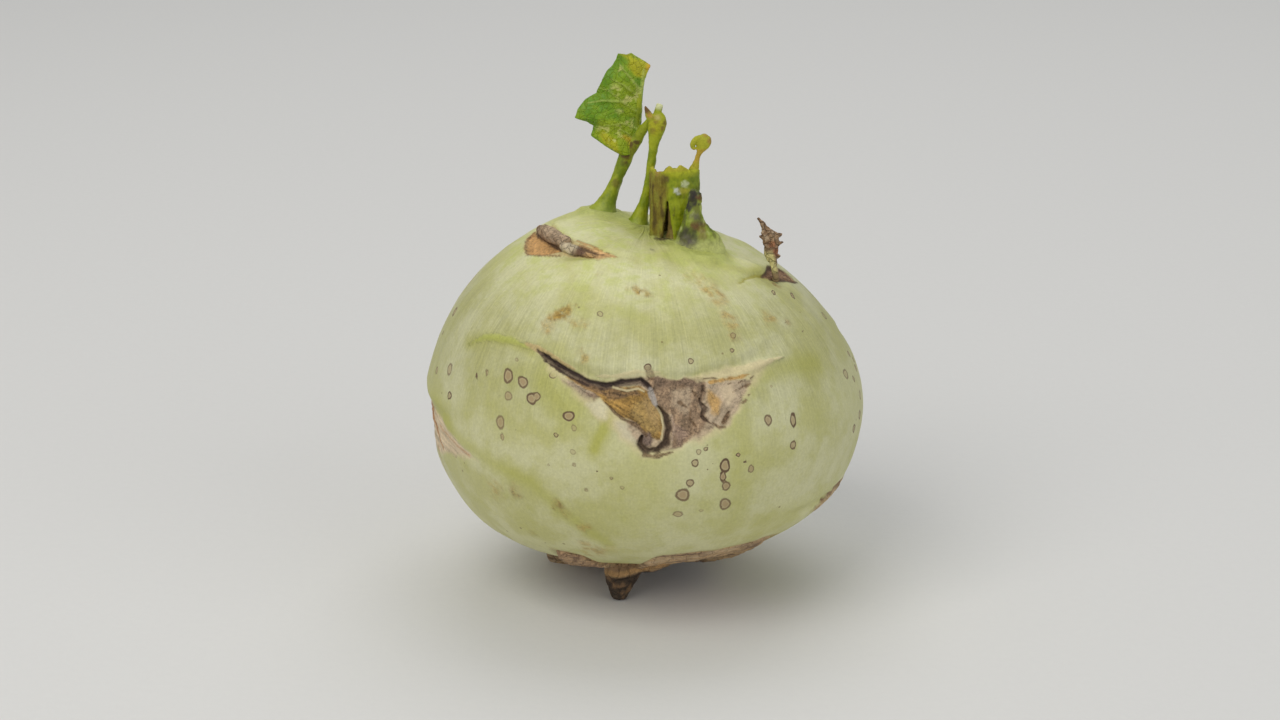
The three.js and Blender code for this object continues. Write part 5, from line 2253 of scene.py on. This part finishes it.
    def paint_blade(self, points: Array) -> Coat:
        """Paints the blade's veins, its yellow and orange edges and its blisters.

        Args:
            points: The blade's points, in millimetres.

        Returns:
            The paint, with the blisters' strength as its height.
        """
        coat = Coat(points)
        places = points[:, [0, 2]]
        at = np.nonzero(points[:, 1] < self.painted_depth)[0]
        yellow, orange = tone(180, 174, 28), tone(206, 160, 48)
        pale, lime = tone(196, 198, 112), tone(144, 164, 24)
        layers = (
            Patch(((-9.6, 103), (-3, 103), (-1.5, 99), (-2.5, 95), (-6, 95.6), (-9.5, 97.4),
                   (-12, 99.4)), lime, 0.9, feather=0.9, ragged=1.4),
            Patch(((-9.8, 99.6), (-8, 97.4), (-6, 96), (-7, 98.6), (-9, 100.8)), yellow, 0.8,
                  feather=0.7, ragged=1.2),
            Patch(((-7, 110.8), (-2.4, 112.2), (-1.2, 108), (-1.4, 103.4), (-5, 103.6),
                   (-8.4, 108.4)), lime, 0.75, feather=1.0, ragged=2.0),
            Patch(((-6.6, 118), (-3, 118), (1.4, 115), (0.6, 112.6), (-1.0, 111.4),
                   (-2.4, 113.8), (-4.4, 115.9)), yellow, 0.85, feather=0.7, ragged=1.0),
            Patch(((0.2, 115.2), (1.4, 115.2), (1.2, 113.8), (0.3, 114)), orange, 0.8,
                  feather=0.5, ragged=0.6),
            Patch(((-4.6, 99.4), (-2, 99.6), (-1.4, 97.6), (-3.4, 97.2)), orange, 0.6, feather=0.6,
                  ragged=1.0),
            Stroke(((-2.2, 97), (-1.7, 101), (-1.5, 105), (-1.2, 108.4), (-0.4, 111),
                    (0.7, 113.6)), (0.3, 0.4, 0.4, 0.35, 0.35, 0.3),
                   tone(178, 188, 88), 0.8, ragged=0.1),
            Stroke(((-1.4, 100), (-0.9, 104), (-0.8, 108)), (0.2, 0.25, 0.2),
                   tone(70, 88, 16), 0.5, ragged=0.2),
        )
        coat.lay_all(layers, at, places)
        coat.wash(0.55 * self.vein_share(points), tone(176, 188, 96), 0.1)
        blister = NOISE.fractal(points + 12, 1.3, 3)
        for x, z, radius in self.blisters:
            near = smooth(1.3 * radius, 0.3 * radius, np.hypot(*(places - [x, z]).T))
            coat.height[:] = np.maximum(coat.height, near)
            coat.lay(at, (0.85 * near * smooth(0.10, 0.45, blister))[at], pale)
            coat.lay(at, (0.5 * near * smooth(0.05, 0.4, -blister))[at], lime)
        return coat


@dataclass
class MiddlePetiole(Growth):
    """The thin middle stalk, torn at its head into a brown point and a cut stub."""

    name: str = "middle_stalk"
    node: str = "petiole_middle"
    slot: Slot = Slot.PETIOLE
    lumps: Lumps = ((2.2, 0.16), (0.8, 0.08))
    voxel: float = 0.16
    stalk: tuple[Station, ...] = (
        (-2.4, 1.7, 76.5, 5.0, 4.6), (-2.0, 1.7, 79.8, 3.2, 3.0), (-1.3, 1.6, 82, 1.95, 1.9),
        (-0.5, 1.6, 84.7, 1.25, 1.3), (0.4, 1.6, 88.4, 0.98, 1.0), (0.85, 1.5, 92.2, 0.92, 0.95),
        (1.4, 1.5, 95.8, 1.0, 1.0), (1.8, 1.5, 99.4, 1.2, 1.1), (2.3, 1.5, 101.6, 1.9, 1.3),
        (2.65, 1.5, 103.5, 2.25, 1.4), (2.3, 1.5, 105.2, 1.5, 0.9),
    )
    point: tuple[Station, ...] = (
        (1.4, 1.5, 103.4, 1.1, 0.9), (0.5, 1.5, 105.4, 0.7, 0.5), (-0.1, 1.5, 106.9, 0.25, 0.25),
    )
    stub: tuple[Station, ...] = (
        (2, 1.5, 104, 0.8, 0.8), (2.7, 1.5, 106, 0.7, 0.7), (3.1, 1.5, 107.4, 0.95, 0.8),
    )

    def parts(self) -> list[Piece]:
        """The stalk, its point and its stub."""
        return Shaper.grow_all((self.stalk, self.point, self.stub))

    def paint(self, coat: Coat) -> None:
        """Paints the stalk's green foot, its specks and its torn head.

        Args:
            coat: The paint over its points.
        """
        points = coat.points
        brown, pale = tone(104, 74, 40), tone(206, 208, 160)
        high = smooth(101.8, 104.6, points[:, 2])
        yellow = high * smooth(-0.1, 0.35, NOISE.fractal(points, 1.4, 3))
        coat.wash(0.55 * yellow, tone(176, 160, 80))
        coat.stain((
            Blot((0.2, 1.2, 106.4), 1.3, brown, 0.95),
            Blot((0.9, 0.6, 105), 0.7, tone(180, 130, 70), 0.8),
            Blot((2.2, 0.4, 104.4), 0.8, brown, 0.6),
            Blot((3.0, 1.4, 107.2), 1.1, pale, 0.9, 0.4, 0.2),
            Blot((2.6, 0.2, 103), 1.9, tone(170, 166, 32), 0.75),
            Blot((2.6, 0.2, 104.8), 0.7, tone(190, 180, 110), 0.7),
            Blot((4.3, 0.8, 103.4), 0.6, brown, 0.7, broken=0.3),
            Blot((2.2, 0.2, 103.6), 0.5, brown, 0.6, 0.4, 0.8, 1.5, 0.4),
            Blot((1.4, 0.2, 101.8), 0.7, brown, 0.6, broken=0.4),
            Blot((3.6, 0.3, 102.2), 0.6, brown, 0.6, broken=0.3),
            Blot((-2.2, -1.2, 82.6), 0.6, brown, 0.5),
            Blot((-3.2, -1.6, 80.8), 1.2, tone(122, 100, 58), 0.6),
            Blot((-2.4, -2, 79.4), 3.0, tone(178, 188, 110), 0.5),
        ))


@dataclass
class TornSheath(Growth):
    """The clasping base of a leaf: a torn, open tube with a curled thread on its rim."""

    name: str = "torn_sheath_wall"
    node: str = "torn_sheath"
    slot: Slot = Slot.SHEATH
    lumps: Lumps = ((2.4, 0.2), (0.8, 0.1))
    columns: int = 90
    rows: int = 60
    x: float = 6.2
    y: float = -3.3
    half_width: float = 4.9
    half_depth: float = 3.4
    foot: float = 77.0
    top: float = 94.2
    thickness: float = 0.8
    slit_turn: float = -107.0
    slit_at_foot: float = 22.0
    slit_at_top: float = -8.0
    tendril: tuple[Station, ...] = (
        (9.9, -4.7, 93.6, 1.5, 0.7), (10.5, -4.8, 95.6, 0.95, 0.5), (11.0, -5, 97.3, 0.45, 0.45),
        (11.4, -5, 98.6, 0.55, 0.5), (12.0, -5, 99.6, 1.5, 0.9), (12.3, -5, 100.8, 1.85, 1.1),
        (12.2, -5, 101.9, 1.3, 0.9), (12.1, -5, 102.4, 0.5, 0.5),
    )
    curl: tuple[Station, ...] = (
        (12, -5.1, 101.7, 0.9, 0.8), (11, -5.2, 101.5, 0.8, 0.7), (10.1, -5.2, 100.8, 0.75, 0.65),
        (9.8, -5.1, 99.9, 0.65, 0.55), (10.1, -5.1, 99.2, 0.5, 0.4), (10.6, -5.1, 99.3, 0.35, 0.3),
    )
    inner: tuple[Station, ...] = (
        (5.8, -5.0, 76.5, 1.9, 1.2), (5.7, -5.5, 79.6, 1.6, 1.0), (5.9, -5.7, 82.4, 1.25, 0.8),
        (5.5, -5.7, 85.2, 0.9, 0.6), (5.0, -5.4, 88, 0.4, 0.4),
    )

    def wall(self, across: Array, up: Array) -> Array:
        """The place of a point of the wall.

        Args:
            across: How far round it from one lip of the slit to the other, 0 to 1.
            up: How far up, 0 to 1.

        Returns:
            Its place, in millimetres.
        """
        slit = self.slit_at_foot + (self.slit_at_top - self.slit_at_foot) * up**0.8
        turn = np.radians(self.slit_turn + slit + (360 - 2 * slit) * across)
        around = np.stack([6 * np.cos(turn), 6 * np.sin(turn), 0 * turn], axis=1)
        ragged = 0.5 * np.sin(4 * turn + 1) + 1.0 * NOISE.fractal(around, 1.6, 3)
        top = self.top - 1.2 * np.sin(turn)
        height = self.foot + (top - self.foot) * up + ragged * up**3
        around[:, 2] = height / 2
        wave = 0.4 * NOISE.fractal(around, 1.5, 3)
        lap = 0.5 * smooth(0.14, 0.02, across)
        flare = 1 + 0.16 * np.clip(1 - up / 0.25, 0, 1) ** 2
        x = self.x + (self.half_width * flare + wave + lap) * np.cos(turn)
        y = self.y + (self.half_depth * flare + wave + lap) * np.sin(turn)
        return np.stack([x, y, height], axis=1)

    def parts(self) -> list[Piece]:
        """The wall, the thread, its curl and the fold inside."""
        wall = Shaper.sheet("wall", self.columns, self.rows, self.thickness, self.wall)
        return [wall, *Shaper.grow_all((self.tendril, self.curl, self.inner), 10)]

    def paint(self, coat: Coat) -> None:
        """Paints the brown, streaked left half, the yellow rim and the thread.

        Args:
            coat: The paint over its points.
        """
        points = coat.points
        tall = points * np.array([2.4, 2.4, 0.6])
        streak = NOISE.fractal(tall, 1.6, 4)
        left = smooth(5.2, 3.8, points[:, 0] + 0.8 * NOISE.fractal(points, 3, 3))
        left *= smooth(97, 94, points[:, 2])
        coat.wash(0.9 * left, tone(120, 104, 34))
        coat.wash(0.75 * left * smooth(0.02, 0.45, streak), tone(70, 54, 20))
        coat.wash(0.6 * left * smooth(0.05, 0.4, -streak), tone(142, 142, 50))
        right = (1 - left) * smooth(93.6, 90, points[:, 2])
        coat.wash(0.5 * right * smooth(0.1, 0.5, streak), tone(92, 88, 30))
        deep = np.hypot((points[:, 0] - self.x) / self.half_width,
                        (points[:, 1] - self.y) / self.half_depth)
        inner = smooth(1.0, 0.88, deep) * smooth(94, 88, points[:, 2])
        coat.wash(0.9 * inner, tone(112, 88, 44))
        coat.wash(0.7 * inner * smooth(0.0, 0.35, streak), tone(170, 148, 84))
        foot = smooth(80.6, 78.4, points[:, 2] + NOISE.fractal(points, 2, 3))
        coat.wash(0.7 * foot, tone(168, 172, 96))
        height = points[:, 2] + 0.8 * NOISE.fractal(points, 2, 2)
        top = smooth(self.top - 1.4, self.top + 0.6, height)
        top *= smooth(97.6, 96.8, points[:, 2])
        coat.wash(0.85 * top, tone(170, 174, 36))
        rim = smooth(self.top + 0.2, self.top + 1.0, points[:, 2]) * smooth(97, 96.4, points[:, 2])
        coat.wash(0.35 * rim, tone(176, 146, 56))
        brown = tone(84, 64, 34)
        coat.stain((
            Blot((4.3, -6.6, 93.2), 0.9, brown, 0.8, broken=0.4),
            Blot((2.6, -6.0, 94.6), 0.9, tone(150, 124, 60), 0.8),
            Blot((6.6, -6.9, 90.6), 0.8, tone(196, 200, 190), 0.95, 0.4, 0.6),
            Blot((7.0, -6.9, 89.9), 0.6, tone(190, 196, 180), 0.9, 0.4, 0.6),
            Blot((8.4, -6.8, 91.9), 0.7, tone(196, 202, 160), 0.8, 0.5, 0.9),
            Blot((8.6, -6.6, 90.4), 1.3, tone(178, 172, 60), 0.8, 0.5, 0.8, 2.0),
        ))
        thread = smooth(95.6, 97, points[:, 2])
        coat.wash(0.8 * thread, tone(172, 170, 44))
        neck = thread * smooth(99.6, 98.8, points[:, 2])
        coat.wash(0.8 * neck, tone(176, 142, 52))
        coat.stain((
            Blot((13.6, -5.2, 101), 0.8, tone(168, 124, 62), 0.7),
            Blot((12.6, -5.2, 102.3), 0.6, tone(168, 124, 62), 0.6),
        ))


@dataclass
class ShortPetiole(Growth):
    """The short stalk in front of the sheath, blackened at its head and foot.

    Its stains lie on a line down its front, at `front_y` where z is `front_z`.
    """

    name: str = "short_stalk"
    node: str = "petiole_short"
    slot: Slot = Slot.SHORT_PETIOLE
    lumps: Lumps = ((3.4, 0.4), (1.2, 0.2), (0.6, 0.08))
    front_y: float = -10.2
    front_z: float = 91.0
    front_slope: float = 0.25
    stalk: tuple[Station, ...] = (
        (11.6, -8.6, 73, 6.4, 4.0), (11.4, -9.0, 77.4, 6.4, 3.2), (10.9, -9.5, 79.8, 5.4, 2.7),
        (10.4, -9.7, 81.6, 4.1, 2.3), (10.05, -9.8, 83.4, 3.05, 2.0), (9.95, -9.7, 85.4, 2.25, 1.7),
        (10.1, -9.5, 87.4, 1.7, 1.35), (10.4, -9.4, 89, 1.45, 1.15), (10.5, -9.3, 90.2, 1.5, 1.1),
        (10.7, -9.3, 91.0, 1.3, 0.9),
    )

    def parts(self) -> list[Piece]:
        """The stalk, which is the whole piece."""
        return [Shaper.grow(self.name, self.stalk, 14, 3)]

    def paint(self, coat: Coat) -> None:
        """Paints the stalk's pale foot, its streaks and its black and brown stains.

        Args:
            coat: The paint over its points.
        """
        points = coat.points
        black, grey, brown = tone(46, 40, 38), tone(104, 98, 88), tone(104, 66, 40)
        fade = smooth(82.4, 79.6, points[:, 2] + NOISE.fractal(points, 3, 3))
        coat.wash(0.94 * fade, tone(184, 188, 116))
        streak = NOISE.fractal(points * np.array([2.2, 2.2, 0.7]), 1.8, 4)
        high = smooth(79, 82, points[:, 2])
        coat.wash(0.6 * high * smooth(0.05, 0.4, streak), tone(86, 84, 40))
        coat.wash(0.6 * high * smooth(0.1, 0.45, -streak), tone(176, 182, 116))
        stains = (
            (9.4, 89.2, 0.9, black, 0.95), (10.8, 90.4, 1.1, black, 0.95),
            (12.0, 89.6, 0.8, brown, 0.9), (8.6, 87.6, 0.8, black, 0.8),
            (7.8, 85.6, 0.7, black, 0.6), (8.2, 81.4, 1.5, black, 0.9),
            (9.6, 82.2, 1.2, black, 0.7), (7.0, 79.8, 1.3, grey, 0.8),
            (9.4, 80.2, 1.3, grey, 0.7), (11.4, 83.8, 1.1, brown, 0.8),
            (11.8, 85.4, 0.7, black, 0.6), (10.4, 86.4, 0.8, grey, 0.6),
            (12.4, 82.0, 0.8, tone(126, 116, 60), 0.7),
        )
        for x, z, radius, colour, share in stains:
            place = (x, self.front_y - self.front_slope * (self.front_z - z), z)
            Blot(place, radius + 0.4, colour, share, 0.4, 0.9, broken=0.3).lay(coat)


@dataclass
class DriedPetiole(Growth):
    """The dried stalk on the right shoulder: cream below, crumpled and brown above."""

    name: str = "dried_stalk"
    node: str = "dried_petiole_right"
    slot: Slot = Slot.DRIED
    lumps: Lumps = ((2.0, 0.4), (0.8, 0.18), (0.45, 0.06))
    voxel: float = 0.14
    relax: int = 2
    stalk: tuple[Station, ...] = (
        (28.0, -6.8, 70, 1.0, 0.9), (27.8, -6.6, 72.4, 0.6, 0.55), (27.5, -6.2, 73.8, 0.6, 0.5),
        (26.9, -5.9, 75.4, 1.15, 0.6), (27.0, -5.7, 77.1, 1.6, 0.65), (26.9, -5.5, 78.5, 1.9, 0.6),
        (26.5, -5.4, 80.2, 1.8, 0.55), (25.6, -5.2, 81.6, 1.1, 0.45), (24.7, -5, 82.9, 0.5, 0.35),
        (24.0, -5, 84, 0.22, 0.22),
    )
    barbs: tuple[tuple[Station, ...], ...] = (
        ((27.4, -5.5, 80, 0.8, 0.5), (28.6, -5.4, 80.4, 0.45, 0.35),
         (29.2, -5.4, 80.6, 0.2, 0.2)),
        ((27.8, -5.5, 78.2, 0.8, 0.5), (28.9, -5.4, 78.6, 0.45, 0.35),
         (29.4, -5.4, 78.8, 0.2, 0.2)),
        ((26.9, -5.8, 75.6, 0.7, 0.5), (28.2, -5.7, 75.7, 0.5, 0.4), (28.9, -5.6, 75.8, 0.2, 0.2)),
        ((25.4, -5.4, 79.6, 0.7, 0.5), (24.7, -5.4, 79.9, 0.4, 0.3), (24.3, -5.4, 80.1, 0.2, 0.2)),
    )

    def parts(self) -> list[Piece]:
        """The stalk and its barbs."""
        return Shaper.grow_all((self.stalk, *self.barbs))

    def paint(self, coat: Coat) -> None:
        """Paints the cream foot, the pale edges and the brown stains.

        Args:
            coat: The paint over its points.
        """
        points = coat.points
        low = smooth(78.2, 76.2, points[:, 2] + 1.2 * NOISE.fractal(points, 2.4, 3))
        low *= smooth(27.9, 27.0, points[:, 0] - 0.25 * (76 - points[:, 2]))
        coat.wash(0.9 * low, tone(206, 196, 130))
        edge = smooth(0.1, 0.5, NOISE.fractal(points + 3, 1.0, 3)) * smooth(77, 78.6, points[:, 2])
        coat.wash(0.7 * edge, tone(196, 172, 140))
        coat.wash(0.8 * smooth(73, 72, points[:, 2]), tone(112, 82, 58))
        coat.stain((
            Blot((28.0, -6.0, 76.8), 0.8, tone(150, 92, 58), 0.8),
            Blot((27.0, -6.0, 78.4), 0.7, tone(156, 96, 60), 0.7),
        ))


@dataclass
class DriedLeafBase(Growth):
    """The dried leaf base on the left shoulder: a corky roll and a folded lip on the skin."""

    name: str = "dried_leaf_roll"
    node: str = "dried_leaf_base_left"
    slot: Slot = Slot.DRIED
    lumps: Lumps = ((3.0, 0.35), (1.2, 0.22), (0.6, 0.1))
    relax: int = 2
    form: SkinForm = field(default_factory=SkinForm)
    roll: tuple[Station, ...] = (
        (171, 34.4, -0.2, 0.7, 0.8), (-177, 32, 0.3, 1.3, 1.6), (-165, 30.8, 0.4, 1.6, 2.1),
        (-154, 30.2, 0.4, 1.6, 2.1), (-146, 30, 0.4, 1.4, 1.9), (-144, 30, 0.4, 1.2, 1.6),
    )
    lump: tuple[Station, ...] = (
        (-146, 32, 0.1, 0.6, 0.9), (-139.6, 31.6, 0.6, 1.3, 1.8), (-131.6, 31.8, 0.6, 1.1, 1.5),
        (-126, 31.6, 0.2, 0.6, 0.7), (-119, 31, 0.0, 0.35, 0.4),
    )

    def on_skin(self, stations: Sequence[Station]) -> list[Station]:
        """Stations that are given round, down and over the skin, in x, y and z.

        Args:
            stations: Degrees round, degrees down, height over the skin and two half widths.

        Returns:
            The same stations in millimetres.
        """
        return [(*self.form.on_skin(*station[:3]), *station[3:]) for station in stations]

    def parts(self) -> list[Piece]:
        """The roll and the lip."""
        return Shaper.grow_all(self.on_skin(stations) for stations in (self.roll, self.lump))

    def paint(self, coat: Coat) -> None:
        """Paints the cream lip, painted shade in its gap, its orange end and the pale roll.

        Args:
            coat: The paint over its points.
        """
        on_skin = self.form.on_skin
        coat.stain((
            Blot(on_skin(-137, 31.4, 1.4), 2.6, tone(212, 196, 162), 0.9),
            # The dark blot in the gap between the lip and its orange end is painted shade.
            Blot(on_skin(-129, 31.6, 0.8), 1.1, tone(112, 82, 60), 0.9),
            Blot(on_skin(-122, 31.2, 0.4), 1.8, tone(196, 156, 104), 0.8),
            *(Blot(on_skin(round_, down, 1.4), 2.3, tone(196, 170, 138), 0.8, 0.6, 0.7, broken=0.3)
              for round_, down in ((-172, 30), (-163, 28.6), (-154, 28), (-147, 29),
                                   (-158, 31.4))),
        ))


# ---- The studio ----


@dataclass
class Studio:
    """The floor, the soft lights and the camera."""

    floor_half: float = 5.0
    elevation: float = 18.0
    distance: float = 0.660
    target: tuple[float, float, float] = (-0.0012, 0.0, 0.0505)
    lens: float = 85.0

    def floor(self, material: Material) -> Piece:
        """Lays the floor.

        Args:
            material: Its material.

        Returns:
            The floor.
        """
        Shaper.deselect()
        bpy.ops.mesh.primitive_plane_add(size=2 * self.floor_half, location=(0, 0, 0))
        floor = bpy.context.object
        floor.name = "floor"
        floor.data.materials.append(material)
        return floor

    @staticmethod
    def light(name: str, place: Sequence[float], size: float, power: float, warm: Colour) -> None:
        """Hangs a soft light that faces the bulb.

        Args:
            name: Its name.
            place: Where it hangs, in metres.
            size: The side of its square, in metres.
            power: Its power, in watts.
            warm: Its linear colour.
        """
        bpy.ops.object.light_add(type="AREA", location=place)
        lamp = bpy.context.object
        lamp.name = name
        lamp.data.size = size
        lamp.data.energy = power
        lamp.data.color = warm
        aim = Vector((0, 0, 0.05)) - Vector(place)
        lamp.rotation_euler = aim.to_track_quat("-Z", "Y").to_euler()

    def lights(self) -> None:
        """Hangs the lights and sets the pale surroundings."""
        self.light("key", (-0.55, -0.75, 0.95), 0.9, 9.0, (1.0, 0.98, 0.95))
        self.light("fill", (0.95, -0.75, 0.45), 1.0, 3.6, (0.96, 0.98, 1.0))
        self.light("top", (0.1, 0.55, 1.1), 1.0, 5.0, (1.0, 1.0, 1.0))
        world = bpy.data.worlds.new("surroundings")
        bpy.context.scene.view_settings.view_transform = "Standard"
        world.use_nodes = True
        sky = world.node_tree.nodes["Background"].inputs
        sky["Color"].default_value = (0.86, 0.88, 0.90, 1.0)
        sky["Strength"].default_value = 0.42
        bpy.context.scene.world = world

    def camera(self) -> None:
        """Places the camera."""
        rise = math.radians(self.elevation)
        target = Vector(self.target)
        place = target + self.distance * Vector((0, -math.cos(rise), math.sin(rise)))
        bpy.ops.object.camera_add(location=place)
        camera = bpy.context.object
        camera.name = "camera"
        camera.data.lens = self.lens
        camera.data.sensor_width = 36.0
        camera.data.clip_start = 0.01
        camera.rotation_euler = (target - place).to_track_quat("-Z", "Y").to_euler()
        bpy.context.scene.camera = camera


def main() -> None:
    """Builds the kohlrabi, piece by piece, and the studio round it."""
    logging.basicConfig(level=logging.INFO, format="%(relativeCreated)d %(name)s: %(message)s")
    studio = Studio()
    studio.camera()
    studio.floor(FloorFinish().make())
    studio.lights()
    Bulb().build(SkinFinish().make())
    cork = CorkFinish("root_cork", tone(82, 62, 46), tone(132, 104, 76), tone(176, 146, 108))
    RootCrown().build(cork.make())
    stalk = StalkFinish("green_stalk", tone(146, 156, 28), tone(106, 124, 12))
    LeafStem().build(LeafFinish().make(), stalk.make())
    MiddlePetiole().build(
        StalkFinish("middle_flesh", tone(156, 164, 26), tone(120, 136, 10)).make()
    )
    TornSheath().build(
        StalkFinish("sheath_flesh", tone(142, 152, 14), tone(100, 118, 6), specks=0.8).make()
    )
    ShortPetiole().build(
        StalkFinish("short_flesh", tone(146, 158, 52), tone(104, 120, 22), specks=0.8).make()
    )
    husk = CorkFinish("dried_husk", tone(78, 56, 40), tone(128, 98, 70), tone(170, 140, 106), 1.8)
    dried = husk.make()
    DriedPetiole().build(dried)
    DriedLeafBase().build(dried)


if __name__ == "__main__":
    main()
